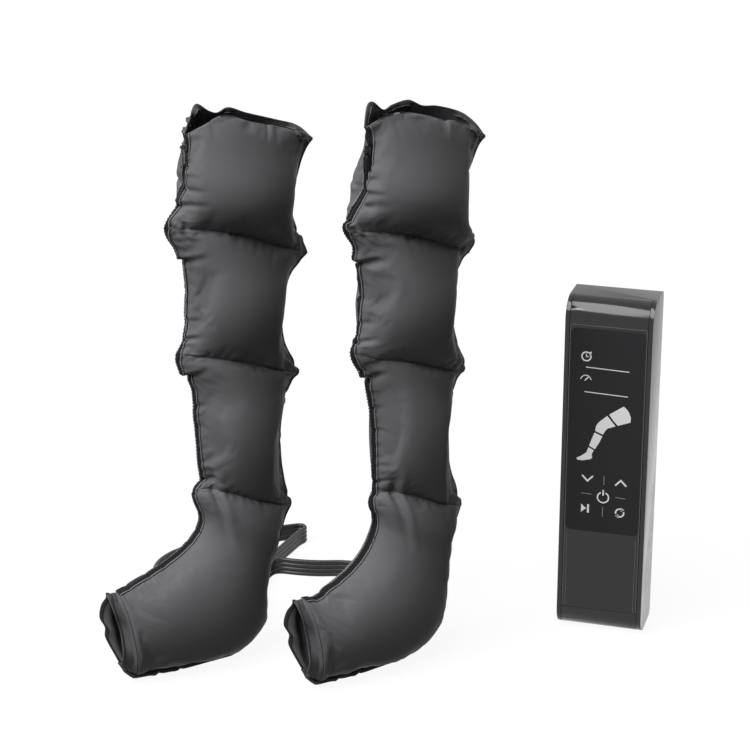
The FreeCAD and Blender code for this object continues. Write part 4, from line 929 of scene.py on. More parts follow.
    def lines(self, chamber: Chamber, t: Array) -> tuple[Array, Array, Array, Array]:
        """Edge lines, half thickness and edge power of a chamber at shares t from seam to seam.

        The half thickness grows from the seams as sin(pi t) to the power 0.9. The foot's back line and
        half thickness run smoothly through its own points, because its sections fan round the heel.

        Args:
            chamber: the chamber.
            t: the shares.

        Returns:
            Front line, back line, half thickness and power, as rings() takes them.
        """
        (front0, back0, seam0), (front1, back1, seam1) = self.seams[chamber.upper], self.seams[chamber.lower]
        front = self.leant(front0) + np.outer(t, self.leant(front1) - self.leant(front0))
        if chamber.name == "foot":
            at = t * (len(self.foot_backs) - 1)
            back = through(np.array(self.foot_backs), at)
            half = through(np.array(self.foot_halves)[:, None], at)[:, 0]
            half = half + self.ankle_rise * np.exp(-((t - 0.12) / 0.09) ** 2)
            power = 0.5 + 0.25 * np.exp(-t / 0.06)
        else:
            back = self.leant(back0) + np.outer(t, self.leant(back1) - self.leant(back0))
            swell = np.sin(math.pi * t).clip(0) ** 0.9
            seam = seam0 + (seam1 - seam0) * t
            half = seam + (chamber.half - seam) * swell
            power = 0.75 - 0.25 * swell
        return (*self.drawn_in(front, back, chamber, t), half, power)

    def blank(self) -> None:
        """Work out the whole skin's grid and where its seams are.

        Near a seam each ring rises by the seam's arch, as sin(pi c) to the power 1.2, and the top ring is
        carried over into the rim's line.
        """
        grids, row, c = [], 0, self.ring_shares()
        for chamber in self.chambers:
            t = self.chamber_rows(chamber)
            ring = self.rings(*self.lines(chamber, t))
            for seam, near in ((chamber.upper, t), (chamber.lower, 1 - t)):
                rise, skew = self.arches[seam]
                bow = np.sin(math.pi * c ** skew) ** 1.2
                ring[..., 2] += rise * np.exp(-(near / self.seam_reach) ** 2)[:, None] * bow
            if chamber.upper == "top":
                ring += (self.rim_ring() - ring[0]) * np.exp(-(t / self.seam_reach) ** 1.5)[:, None, None]
            self.spans[chamber.name] = (row, row + chamber.rows)
            self.row_shares[chamber.name] = t
            grids.append(ring if row == 0 else ring[1:])
            row += chamber.rows
        self.skin = np.concatenate(grids)
        self.seam_rows = [0] + [last for _, last in self.spans.values()]

    def weld_nearness(self) -> Array:
        """How near each skin point is to a weld or an edge: exp(-(distance / 30 mm)^2).

        Returns:
            Rows by columns, 1 on a weld.
        """
        step = np.linalg.norm(np.diff(self.skin, axis=0), axis=-1)
        down = np.concatenate([np.zeros((1, self.skin.shape[1])), np.cumsum(step, 0)])
        away = np.min([np.abs(down - down[at]) for at in self.seam_rows], 0)
        c = self.ring_shares()
        chord = np.linalg.norm(self.skin[:, 0] - self.skin[:, self.half_columns], axis=-1)[:, None]
        return np.exp(-(np.minimum(away, np.minimum(c, 1 - c)[None] * chord) / 30.0) ** 2)

    def airtight_cloth(self) -> Piece:
        """The skin as a slightly flatter cloth with air pressure in it, its seams and both edges held.

        Returns:
            The cloth, ready for the simulation's frames.
        """
        rows, cols = self.skin.shape[:2]
        start = self.skin.copy()
        start[..., 1] *= 0.94
        start[self.seam_rows] = self.skin[self.seam_rows]
        piece = grid_piece(self.label("cloth"), start * MM, wrap_cols=True)
        number = np.arange(rows * cols).reshape(rows, cols)
        held = piece.vertex_groups.new(name="held")
        for points in (number[self.seam_rows], number[:, [0, self.half_columns]]):
            held.add(points.ravel().tolist(), 1.0, "REPLACE")
        cloth = piece.modifiers.new("air", "CLOTH")
        cloth.point_cache.frame_start, cloth.point_cache.frame_end = 1, self.air_frames
        cloth.collision_settings.use_collision = False
        cloth.settings.effector_weights.gravity = 0
        for name, value in {"vertex_group_mass": "held", "quality": 5, "use_pressure": True,
                            "uniform_pressure_force": 5.0, "shrink_min": -self.slack, "tension_stiffness": 20,
                            "compression_stiffness": 20, "shear_stiffness": 6, "bending_stiffness": 0.08,
                            "air_damping": 2.0}.items():
            setattr(cloth.settings, name, value)
        return piece

    def inflate(self) -> None:
        """Blow the skin up with cloth simulation, the cloth cut with a little slack.

        The puckers that this leaves are kept in full near the welds and by a fifth elsewhere, within the
        cap. Without the simulation the worked-out skin stays as it is.
        """
        piece = self.airtight_cloth()
        scene = bpy.context.scene
        for step in range(1, self.air_frames + 1):
            scene.frame_set(step)
        ready = piece.evaluated_get(bpy.context.evaluated_depsgraph_get()).data
        flat = np.zeros(self.skin.size, np.float32)
        ready.vertices.foreach_get("co", flat)
        scene.frame_set(1)
        moved = flat.reshape(self.skin.shape) / MM - self.skin
        far = np.linalg.norm(moved, axis=-1, keepdims=True)
        LOG.info("%s skin: mean move %.1f mm, most %.1f mm", self.side.value, far.mean(), far.max())
        share = 0.2 + 0.8 * self.weld_nearness()[..., None]
        self.skin = self.skin + moved * share * np.minimum(1, self.cap_mm / np.maximum(far, 1e-6))
        bpy.data.objects.remove(piece)

    def pleat_end(self, chamber: str, share: float, over: float) -> tuple[int, int]:
        """Row and column of a pleat's end.

        Args:
            chamber: the chamber that it is in.
            share: share down the chamber.
            over: share across it, negative on the far side.

        Returns:
            Numbers into the skin's grid.
        """
        c, half = self.ring_shares(), self.half_columns
        near, far = c[:half + 1], c[half:]
        col = int(np.argmin(np.abs(near - over))) if over >= 0 else half + int(np.argmin(np.abs(far + over)))
        return self.row_at(chamber, share), col

    def crease(self) -> None:
        """Press every pleat into the skin, and pucker it along the welds.

        Depth = deep x (1 - along) x exp(-(s / wide)^2), with s the distance across the fold and along the
        share of its length; a ridge of half that height lies beside it at 1.6 widths. The puckers are a sum
        of five sine waves round the ring, which fades over three rows.
        """
        normals = grid_normals(self.skin)
        shift = np.zeros(self.skin.shape[:2])
        for fold in PLEATS:
            start, end = (self.pleat_end(fold.chamber, *at) for at in (fold.start, fold.end))
            low, way = self.skin[start], self.skin[end] - self.skin[start]
            along = np.clip((self.skin - low) @ way / (way @ way), -0.15, 1)
            off = self.skin - (low + along[..., None] * way)
            s = off @ unit(np.cross(normals[start], way))
            reach = np.exp(-(np.maximum(np.linalg.norm(off, axis=-1) - np.abs(s), 0) / (3 * fold.wide)) ** 2)
            groove = -np.exp(-(s / fold.wide) ** 2) + 0.5 * np.exp(-((s - 1.6 * fold.wide) / fold.wide) ** 2)
            shift += fold.deep * (1 - along.clip(0)) * groove * reach
        puckers = np.random.default_rng(self.seed)
        u = np.linspace(0, 1, self.skin.shape[1], endpoint=False)
        wave = sum(np.sin(2 * math.pi * (k * u + puckers.random())) * puckers.random()
                   for k in self.pucker_waves)
        rows = np.arange(len(self.skin))
        for at in self.seam_rows[1:-1]:
            fade = np.exp(-np.abs(rows - at) / self.pucker_rows) * (rows != at)
            shift += self.pucker * wave[None] * fade[:, None]
            wave = np.roll(wave, 17)
        self.skin = self.skin + normals * shift[..., None]

    def slider_way(self) -> None:
        """Press the front edge back so that the zipper slider and its pull run clear of the cloth.

        Each point in front of the wanted depth d(z) goes back by (d - x) exp(-(y / 11)^4).
        """
        slider, pull = self.node_reach("zipper_slider"), self.node_reach("zipper_pull")
        low = [pull[0, 2] - self.slider_travel, slider[0, 2] - self.slider_travel]
        height = [low[0] - 44, low[0] - 4, low[1] - 6, low[1] - 1, slider[1, 2] + 1, slider[1, 2] + 18]
        depth = np.array([-30.0, 0.0, 0.0, 0.0, 0.0, -8.0]) + self.slider_room
        depth += [pull[1, 0]] * 3 + [slider[1, 0]] * 3
        wanted = np.interp(self.skin[..., 2], height, depth, left=-999, right=-999)
        short = (wanted - self.skin[..., 0]).clip(0)
        self.skin[..., 0] += short * np.exp(-(self.skin[..., 1] / self.press_half) ** 4)

    def shells(self) -> None:
        """The four chambers, each a closed ring of its outer skin and the wall of the leg channel."""
        for chamber in self.chambers:
            first, last = self.spans[chamber.name]
            outer = self.skin[first:last + 1]
            front, back, _, _ = self.lines(chamber, np.linspace(1, 0, 9))
            across = unit(back - front)
            inner = self.rings(front + across * self.channel_edge, back - across * self.channel_edge,
                               np.full(9, self.channel_half), np.full(9, 0.5))
            stands_for = [self.label(f"{chamber.name}_chamber")]
            if chamber.upper == "top":
                rows = list(self.lining_rows)
                inner[-len(rows):] = self.skin[rows] - grid_normals(self.skin)[rows] * self.cloth_mm
                stands_for.append(self.label("cuff"))
            grid = self.world(np.concatenate([outer, inner]))
            piece = grid_piece(self.label(f"{chamber.name}_shell"), grid, wrap_rows=True, wrap_cols=True)
            ends = np.zeros(len(piece.data.edges) * 2, int)
            piece.data.edges.foreach_get("vertices", ends)
            ends = ends.reshape(-1, 2) // outer.shape[1]
            sharp = (ends[:, 0] == ends[:, 1]) & np.isin(ends[:, 0], (0, last - first))
            piece.data.attributes.new("crease_edge", "FLOAT", "EDGE").data.foreach_set(
                "value", sharp.astype(np.float32))
            dress(refine(piece), SLEEVE_NYLON, replaces=stands_for)

    def rim_ring(self) -> Array:
        """The rim's closed line at the columns' shares."""
        return edge_ring(self.rim_near, self.rim_far, self.columns())

    def rim(self) -> None:
        """Binding of the far rim, which runs round the back corner on to the near side, and its stitching."""
        first = int(self.half_columns * 0.8)
        ring, below = (np.concatenate([line[first:], line[:1]]) for line in (self.rim_ring(), self.skin[2]))
        path = self.world(ring)
        tangent = tangents(path)
        out = unit(np.cross(tangent, unit(self.turned(below - ring))))
        along = unit(np.cross(out, tangent))
        thick, wide, middle, stitch = self.rim_binding
        band = rounded_profile(thick * MM, wide * MM, 12)
        dress(sweep(self.label("rim_binding"), path + along * middle * MM, out, along, band), EDGE_BINDING)
        for name, way in (("rim_stitch_inner", -1.0), ("rim_stitch_outer", 1.0)):
            line = path + along * stitch * MM + out * way * thick / 2 * MM
            self.rope(name, line, 1.1, THREAD)

    def rope(self, name: str, path: Array, thick: float, finish: Finish) -> None:
        """Carry a round section along a line, its second axis as near upright as the line allows.

        Args:
            name: the piece's name without its side.
            path: points in the row frame, in metres.
            thick: the section's diameter in millimetres.
            finish: what it is made of.
        """
        tangent = tangents(path)
        guide = np.where(np.abs(tangent[:, 2:]) > 0.9, [[1.0, 0.0, 0.0]], [[0.0, 0.0, 1.0]])
        side = unit(np.cross(tangent, guide))
        up = unit(np.cross(side, tangent))
        section = rounded_profile(thick * MM, thick * MM, 6 if thick < 1.5 else 8, 2.0)
        dress(sweep(self.label(name), path, side, up, section), finish)

    def toe_mouth(self) -> None:
        """Open toe end: a short slack tube whose near edge is folded in, with three bound edges.

        The tube is drawn in between the seam and the mouth by 0.45 sin(pi t) of its thickness.
        """
        mouth = edge_ring(TOE_NEAR, TOE_FAR, self.columns())
        away = np.linspace(0, 1, 9)[:, None, None]
        outer = self.skin[-1] + (mouth - self.skin[-1]) * away
        outer[..., 1] *= 1 - 0.45 * np.sin(math.pi * away[..., 0])
        tucked = mouth + unit(mouth.mean(0) - mouth) * 2.0
        inner = tucked + (self.channel_ring(*self.toe_channel) - tucked) * np.linspace(0, 1, 6)[:, None, None]
        piece = grid_piece(self.label("toe_mouth"), self.world(np.concatenate([outer, inner])),
                           wrap_rows=True, wrap_cols=True)
        dress(refine(piece), SLEEVE_NYLON, replaces=[self.label("toe_binding")])
        half, inward = self.half_columns + 1, outer[-2] - mouth
        self.band("toe_near_binding", mouth[:half], inward[:half], EDGE_BINDING, 9.0)
        self.band("toe_far_binding", mouth[half - 1:], inward[half - 1:], SOLE_CLOTH, 6.0)
        self.band("toe_second_binding", outer[4][:half], (outer[3] - outer[4])[:half], EDGE_BINDING, 5.0)

    def channel_ring(self, edge: float, half: float) -> Array:
        """The leg channel's ring at the toe.

        Args:
            edge: how far it stays from the front and the back line.
            half: its half thickness.

        Returns:
            Columns by three.
        """
        front, back, _, _ = self.lines(self.chambers[-1], np.array([0.0, 1.0]))
        across = unit(back[1] - front[1]) * edge
        return self.rings((front[1] + across)[None], (back[1] - across)[None], np.array([half]),
                          np.array([0.5]))[0]

    def band(self, name: str, line: Array, inward: Array, finish: Finish, wide: float) -> None:
        """Flat binding along a part of the mouth: its width lies along the skin, its thickness across it.

        Args:
            name: the piece's name without its side.
            line: points of the edge, in the sleeve's own frame.
            inward: directions from the edge along the skin.
            finish: what it is made of.
            wide: the binding's width in millimetres.
        """
        path, along = self.world(line), unit(self.turned(inward))
        out = unit(np.cross(tangents(path), along))
        profile = rounded_profile(2.4 * MM, wide * MM, 12)
        dress(sweep(self.label(name), path, out, along, profile), finish)

    def zipper(self) -> None:
        """Tape that hugs the front edge, its teeth, and the sewn line on both of its sides.

        Between the seams the tape slips round to the far side, by the chamber's amount times the square
        root of sin(pi t), but not on the slider's way.
        """
        slip = np.zeros(len(self.skin))
        for chamber in self.chambers:
            first, last = self.spans[chamber.name]
            swell = np.sin(math.pi * self.row_shares[chamber.name]).clip(0)
            slip[first:last + 1] = chamber.slip * np.sqrt(swell)
        slip *= np.interp(self.skin[:, 0, 2], self.slip_levels, [1.0, 0.0])
        cols = self.tape_columns
        order = np.r_[-cols:0, 0:cols]
        strip, facing = self.skin[1:, order], grid_normals(self.skin)[1:, order]
        before = np.linalg.norm(np.diff(strip[:, :cols + 1], axis=1), axis=-1).sum(1)[:, None]
        reach = before - slip[1:, None] + np.linspace(-self.tape_half, self.tape_half, self.tape_points)
        points, out = at_distance(strip, strip, reach), unit(at_distance(strip, facing, reach))
        tape = np.concatenate([points + out * self.cloth_mm, (points + out * self.tape_back)[:, ::-1]], 1)
        dress(outward(grid_piece(self.label("front_tape"), self.world(tape), wrap_cols=True, caps=True)),
              ZIP_TAPE, replaces=[self.label("zipper_tape")])
        for name, at in (("near_stitch", -1), ("far_stitch", 0)):
            line = self.world(points[:, at] + out[:, at] * self.stitch_out)
            self.rope(name, line, self.thread_mm, THREAD)
        self.teeth(points[:, self.tape_points // 2])

    def teeth(self, middle: Array) -> None:
        """Two rows of moulded teeth in step, each a small block that straddles the tape's middle line.

        Args:
            middle: points of the tape's middle line on the skin, in the sleeve's own frame.
        """
        edge, bell = respaced(middle, self.tooth_pitch), np.hanning(self.tooth_smooth)
        soft = bell / bell.sum()
        line = np.stack([np.convolve(edge[:, axis], soft, "valid") for axis in range(3)], -1)
        down = tangents(line)
        out = np.stack([down[:, 2], np.zeros(len(down)), -down[:, 0]], -1)
        across = np.broadcast_to([0.0, 1.0, 0.0], down.shape)
        aside = np.where(np.arange(len(line)) % 2 == 0, -self.tooth_aside, self.tooth_aside)
        low = line + out * self.tooth_out + aside[:, None] * across
        corner = np.array([[i, j, k] for i in (-1, 1) for j in (-1, 1) for k in (0, 1)]) * self.tooth_size
        points = low[:, None] + sum(corner[:, axis:axis + 1] * way[:, None]
                                    for axis, way in enumerate((down, across, out)))
        quads = np.array([[0, 1, 3, 2], [4, 6, 7, 5], [0, 4, 5, 1], [2, 3, 7, 6], [0, 2, 6, 4], [1, 5, 7, 3]])
        faces = (np.arange(len(line))[:, None, None] * 8 + quads).reshape(-1, 4).tolist()
        piece = mesh_piece(self.label("zipper_teeth"), self.world(points), faces, smooth=False)
        dress(outward(piece), ZIP_TEETH)

    def back_weld(self) -> None:
        """Flat welded margin that stands off the back edge from the rim to the heel."""
        last = self.spans["foot"][0] + int(self.chambers[-1].rows * 0.5)
        line = self.skin[:last, self.half_columns]
        down = tangents(line)
        out = np.stack([-down[:, 2], np.zeros(len(down)), down[:, 0]], -1)
        side, up = self.turned(out), self.turned(np.broadcast_to([0.0, 1.0, 0.0], out.shape))
        away, wide, thick = self.weld_margin
        piece = sweep(self.label("back_weld"), self.world(line + out * away), side, up,
                      rounded_profile(wide * MM, thick * MM, 12))
        dress(piece, EDGE_BINDING)

    def sole(self) -> None:
        """Base cloth under the foot and its piping: a pad that follows the skin's lower edge up the heel."""
        start = self.row_at("foot", self.sole_start)
        edge = np.concatenate([self.skin[start:, self.half_columns, ::2], self.sole_toe])
        line = respaced(edge[::-1], 2.8)
        ahead = tangents(line)
        level, share, flat = line[:, 1], np.linspace(0, 1, len(line)), np.zeros(len(line))
        below = np.stack([ahead[:, 1], -ahead[:, 0]], -1)
        hung = line + below * np.interp(level, self.sole_levels, self.sole_hang)[:, None]
        wide = np.interp(share, self.sole_shares, self.sole_wide)
        tall = np.interp(level, self.sole_levels, self.sole_tall)
        path = np.stack([hung[:, 0], flat + 4.0, np.maximum(hung[:, 1], tall / 2 + 0.3)], -1)
        up = np.stack([-ahead[:, 1], flat, ahead[:, 0]], -1)
        side = np.broadcast_to([0.0, 1.0, 0.0], path.shape)
        profile = rounded_profile(2.0, 1.0, 24, 2.6)[None] * np.stack([wide, tall], -1)[:, None] * MM
        piece = sweep(self.label("foot_sole"), self.world(path), self.turned(side), self.turned(up), profile)
        dress(piece, SOLE_CLOTH, replaces=[self.label("sole")])
        self.rope("sole_piping", self.world(path - side * (wide * 0.98)[:, None]), 1.8, EDGE_BINDING)

    def build(self) -> None:
        """Make and dress the whole sleeve."""
        for step in (self.blank, self.inflate, self.crease, self.slider_way, self.shells, self.rim,
                     self.toe_mouth, self.zipper, self.back_weld, self.sole):
            step()


# ---------------------------------------------------------------- ribbon hoses

@dataclass
class RibbonHose:
    """Flat hose of four joined air tubes, from a sleeve's gland to the roll that holds its spare length.

    The boot's halves are its least half thickness and half height, each with what it has more at the gland.
    """

    side: Side
    route: list[tuple[float, float]]
    centre: tuple[float, float]
    hole: float
    turns: float
    tall: float = 28.0
    tube: float = 3.5
    web: float = 1.3
    low: float = 0.5
    points_a_turn: int = 14
    tail: float = 8.0
    pitch: float = 2.5
    boot_points: int = 11
    boot_halves: tuple = ((4.2, 2.6), (14.1, 0.2))

    def spiral(self) -> list[tuple[float, float]]:
        """Points of the roll's turns: the radius falls evenly from the route's end to the hole.

        Returns:
            X and Y of each point, in millimetres.
        """
        start = np.array(self.route[-1]) - self.centre
        first = math.atan2(start[1], start[0])
        last = -math.pi - 2 * math.pi * self.turns + 0.55
        count = int(abs(last - first) / (2 * math.pi) * self.points_a_turn)
        angle = np.linspace(first, last, count + 1)[1:]
        inner = self.hole + self.tube + 1.5
        outer = float(np.hypot(*start))
        radius = (outer + (inner - outer) * (angle - first) / (last - first)) * 1.02
        return list(zip(self.centre[0] + radius * np.cos(angle), self.centre[1] + radius * np.sin(angle)))

    def control_points(self) -> list[tuple[float, float]]:
        """The whole line: the route, the roll and the tail that turns in to the connector.

        Returns:
            X and Y of each control point, in millimetres.
        """
        x, y = self.centre
        inner = self.hole + self.tube + 1.0
        turn = [(x - inner - 0.5, y - 9.0), (x - inner + 2.0, y - 1.0), (x - self.hole + self.tail - 2.0, y),
                (x - self.hole + self.tail + 1.0, y)]
        return self.route + self.spiral() + turn

    def line(self) -> Array:
        """Even points read from the route's NURBS curve, at the ribbon's middle height.

        Returns:
            Points by three, in metres.
        """
        height = (self.low + self.tall / 2) * MM
        curve = bpy.data.curves.new(f"{self.side.value}_route", "CURVE")
        curve.dimensions = "3D"
        curve.resolution_u = 10
        spline = curve.splines.new("NURBS")
        points = self.control_points()
        spline.points.add(len(points) - 1)
        for at, (x, y) in enumerate(points):
            spline.points[at].co = (x * MM, y * MM, height, 1.0)
        spline.order_u = 3
        spline.use_endpoint_u = True
        holder = bpy.data.objects.new(f"{self.side.value}_route", curve)
        bpy.context.scene.collection.objects.link(holder)
        read = bpy.data.meshes.new_from_object(holder.evaluated_get(bpy.context.evaluated_depsgraph_get()))
        flat = np.zeros(len(read.vertices) * 3)
        read.vertices.foreach_get("co", flat)
        bpy.data.objects.remove(holder)
        return respaced(flat.reshape(-1, 3), self.pitch * MM)

    def profile(self) -> Array:
        """Section of four joined tubes: half thickness = the greater of the web and each tube's circle.

        Returns:
            Points by two, in metres: across the ribbon and up it.
        """
        height = np.linspace(-self.tall / 2, self.tall / 2, 33)[1:-1]
        centre = (np.floor((height + self.tall / 2) / (2 * self.tube)) - 1.5).clip(-1.5, 1.5) * 2 * self.tube
        thick = np.maximum(np.sqrt(np.maximum(self.tube ** 2 - (height - centre) ** 2, 0)), self.web)
        right, left = np.stack([thick, height], -1), np.stack([-thick, height], -1)[::-1]
        return np.concatenate([right, [[0.0, self.tall / 2]], left, [[0.0, -self.tall / 2]]]) * MM

    def build(self) -> None:
        side = self.side.value
        path = self.line()
        ahead = tangents(path)
        up = np.broadcast_to([0.0, 0.0, 1.0], path.shape)
        across = np.stack([ahead[:, 1], -ahead[:, 0], np.zeros(len(path))], -1)
        ribbon = sweep(f"{side}_ribbon_hose", path, across, up, self.profile())
        dress(ribbon, HOSE_PVC, replaces=[f"{side}_hose", f"{side}_hose_coil"])
        taper = np.linspace(1.0, 0.0, self.boot_points) ** 0.8
        size = np.stack([least + more * taper for least, more in self.boot_halves], -1)
        shape = rounded_profile(2.0, 2.0, 24, 4.0)[None] * size[:, None] * MM
        boot = sweep(f"{side}_hose_boot", *(lines[:self.boot_points] for lines in (path, across, up)), shape)
        dress(boot, CONNECTOR)


# ---------------------------------------------------------------- studio

@dataclass
class Studio:
    """White sweep, soft lamps and the camera, whose place and target are in millimetres."""

    camera_at: tuple[float, float, float] = (539.61, -3076.25, 1526.46)
    target: tuple[float, float, float] = (-304.36, -190.1, 432.0)
    lens: float = 108.94
    world_light: float = 0.03
    floor_glow: float = 0.93
    floor_span: float = 14.0
    paper: str = "#545454"
    sun_strength: float = 3.3
    sun_spread: float = 50.0
    sun_way: tuple[float, float, float] = (0.25, 0.58, -1.05)
    middle: tuple[float, float, float] = (-0.3, -0.2, 0.4)

    @staticmethod
    def seen(tree: bpy.types.NodeTree) -> bpy.types.NodeSocket:
        """One for rays from the camera, from gloss and through glass, and nothing for light rays.

        Args:
            tree: the node tree that it is added to.

        Returns:
            The value's socket.
        """
        ray = add(tree, "ShaderNodeLightPath").outputs
        direct = add(tree, "ShaderNodeMath", {"operation": "MAXIMUM"},
                     {0: ray["Is Camera Ray"], 1: ray["Is Glossy Ray"]}).outputs[0]
        return add(tree, "ShaderNodeMath", {"operation": "MAXIMUM"},
                   {0: direct, 1: ray["Is Transmission Ray"]}).outputs[0]

    @staticmethod
    def stand(data: bpy.types.ID, at: Vector, way: Vector) -> Piece:
        """Put a camera or a light into the scene, looking along a direction with its top up.

        Args:
            data: the camera or the light.
            at: its place in metres.
            way: the direction.

        Returns:
            The new object, named like its data.
        """
        made = bpy.data.objects.new(data.name, data)
        made.location = at
        made.rotation_euler = way.to_track_quat("-Z", "Y").to_euler()
        bpy.context.scene.collection.objects.link(made)
        return made

    def camera(self) -> None:
        """Camera level with the horizon, aimed at the target."""
        data = bpy.data.cameras.new("view")
        data.lens = self.lens
        data.sensor_width = 36.0
        data.clip_end = 50.0
        at = Vector(self.camera_at)
        bpy.context.scene.camera = self.stand(data, at * MM, Vector(self.target) - at)

    def floor(self) -> None:
        span = self.floor_span
        corners = np.array([[-span, -span, 0], [span, -span, 0], [span, span, 0], [-span, span, 0]])
        piece = mesh_piece("studio_floor", corners, [[0, 1, 2, 3]], smooth=False)
        material = bpy.data.materials.new("white_paper_sweep")
        material.use_nodes = True
        tree = material.node_tree
        tree.nodes.clear()
        lift = add(tree, "ShaderNodeMath", {"operation": "MULTIPLY"},
                   {0: self.seen(tree), 1: self.floor_glow})
        paper = add(tree, "ShaderNodeBsdfDiffuse", None, {"Color": linear(self.paper)})
        glow = add(tree, "ShaderNodeEmission", None, {"Color": (1, 1, 1, 1), "Strength": lift.outputs[0]})
        both = add(tree, "ShaderNodeAddShader", None, {0: paper.outputs[0], 1: glow.outputs[0]})
        add(tree, "ShaderNodeOutputMaterial", None, {"Surface": both.outputs[0]})
        piece.data.materials.append(material)

    def world(self) -> None:
        """White surroundings: full to the camera and to gloss, less as a light."""
        world = bpy.data.worlds.new("white_room")
        bpy.context.scene.world = world
        world.use_nodes = True
        tree = world.node_tree
        tree.nodes.clear()
        power = add(tree, "ShaderNodeMapRange", None,
                    {"Value": self.seen(tree), "To Min": self.world_light, "To Max": 1.0})
        back = add(tree, "ShaderNodeBackground", None, {"Color": (1, 1, 1, 1), "Strength": power.outputs[0]})
        add(tree, "ShaderNodeOutputWorld", None, {"Surface": back.outputs[0]})

    def lamp(self, name: str, at: tuple[float, float, float], size: tuple[float, float],
             power: float) -> None:
        """Args:
            name: the lamp's name.
            at: its place in metres.
            size: its width and height in metres.
            power: its power in watts.
        """
        data = bpy.data.lights.new(name, "AREA")
        data.shape = "RECTANGLE"
        data.size, data.size_y = size
        data.energy = power
        self.stand(data, Vector(at), Vector(self.middle) - Vector(at))

    def sun(self) -> None:
        """Broad key light from the upper left front, so wide that its shadows are soft."""
        data = bpy.data.lights.new("key_light", "SUN")
        data.energy = self.sun_strength
        data.angle = math.radians(self.sun_spread)
        self.stand(data, Vector(), Vector(self.sun_way))

    def build(self) -> None:
        """Set the whole studio up."""
        self.camera()
        self.floor()
        self.world()
        self.sun()
        self.lamp("side_softbox", (-2.1, -2.3, 2.4), (0.9, 1.4), 34.0)
        bpy.context.scene.view_settings.view_transform = "Standard"


# ---------------------------------------------------------------- kit

LEFT_ROUTE = [
    (-576.1, -248.8), (-601.0, -226.5), (-634.0, -192.0), (-664.0, -147.0), (-692.0, -95.0),
    (-707.0, -41.0), (-693.0, 11.0), (-658.0, 55.0), (-617.0, 95.0), (-578.0, 130.0),
    (-548.0, 152.0), (-531.0, 162.0), (-521.0, 150.0), (-528.0, 133.0), (-531.0, 107.0),
    (-536.0, 73.0), (-541.0, 31.0), (-561.0, -15.0), (-585.2, -64.2),
]
RIGHT_ROUTE = [
    (-304.7, -155.9), (-328.0, -138.5), (-346.0, -108.0), (-353.0, -67.0), (-358.0, -24.0),
    (-370.0, 17.0), (-394.0, 43.0), (-425.0, 42.0), (-458.0, 30.0), (-494.0, 24.0),
    (-530.0, 24.0), (-536.0, 0.0), (-533.0, -38.0), (-525.0, -87.0), (-507.8, -136.2),
]
# The rims' lines: share of the rim's width, then X, Y and Z in the sleeve's own frame.
LEFT_RIM_NEAR = [(0.0, 0.0, -1.0, 790.0), (0.12, 20.0, -12.0, 802.0), (0.28, 52.0, -18.0, 814.0),
                 (0.48, 92.0, -20.0, 800.0), (0.7, 130.0, -18.0, 789.0), (0.88, 168.0, -12.0, 775.0),
                 (1.0, 197.0, -1.0, 760.0)]
LEFT_RIM_FAR = [(0.0, 0.0, 1.0, 790.0), (0.07, 12.0, 7.0, 808.0), (0.14, 24.0, 11.0, 826.0),
                (0.22, 44.0, 15.0, 814.0), (0.3, 60.0, 19.0, 808.0), (0.4, 78.0, 20.0, 813.0),
                (0.55, 106.0, 20.0, 802.0), (0.75, 149.0, 18.0, 788.0), (0.9, 180.0, 12.0, 777.0),
                (1.0, 197.0, 1.0, 760.0)]
RIGHT_RIM_NEAR = [(0.0, -18.0, -1.0, 806.0), (0.12, 2.0, -11.0, 818.0), (0.26, 28.0, -17.0, 823.0),
                  (0.45, 68.0, -20.0, 814.0), (0.6, 98.0, -20.0, 803.0), (0.78, 132.0, -17.0, 796.0),
                  (0.9, 160.0, -12.0, 781.0), (1.0, 188.0, -1.0, 764.0)]
RIGHT_RIM_FAR = [(0.0, -18.0, 1.0, 806.0), (0.08, -8.0, 8.0, 831.0), (0.14, 4.0, 12.0, 834.0),
                 (0.24, 24.0, 15.0, 820.0), (0.34, 42.0, 18.0, 824.0), (0.48, 70.0, 20.0, 826.0),
                 (0.6, 94.0, 20.0, 815.0), (0.72, 120.0, 19.0, 811.0), (0.86, 157.0, 15.0, 798.0),
                 (0.95, 178.0, 9.0, 781.0), (1.0, 188.0, 1.0, 764.0)]
# The toe mouth's lines, in the same way.
TOE_NEAR = [(0.0, -141.0, -2.0, 149.0), (0.1, -141.5, -11.0, 141.0), (0.25, -138.5, -17.0, 123.0),
            (0.42, -131.0, -12.0, 103.0), (0.6, -126.5, -12.0, 80.0), (0.78, -128.0, -17.0, 56.0),
            (0.9, -129.0, -13.0, 38.0), (1.0, -120.0, -1.0, 24.0)]
TOE_FAR = [(0.0, -141.0, 2.0, 149.0), (0.12, -139.5, 7.0, 138.0), (0.25, -143.0, 15.0, 124.0),
           (0.45, -144.0, 20.0, 103.0), (0.58, -139.0, 15.0, 88.0), (0.72, -137.0, 19.0, 70.0),
           (0.9, -127.0, 11.0, 42.0), (1.0, -120.0, 1.0, 24.0)]

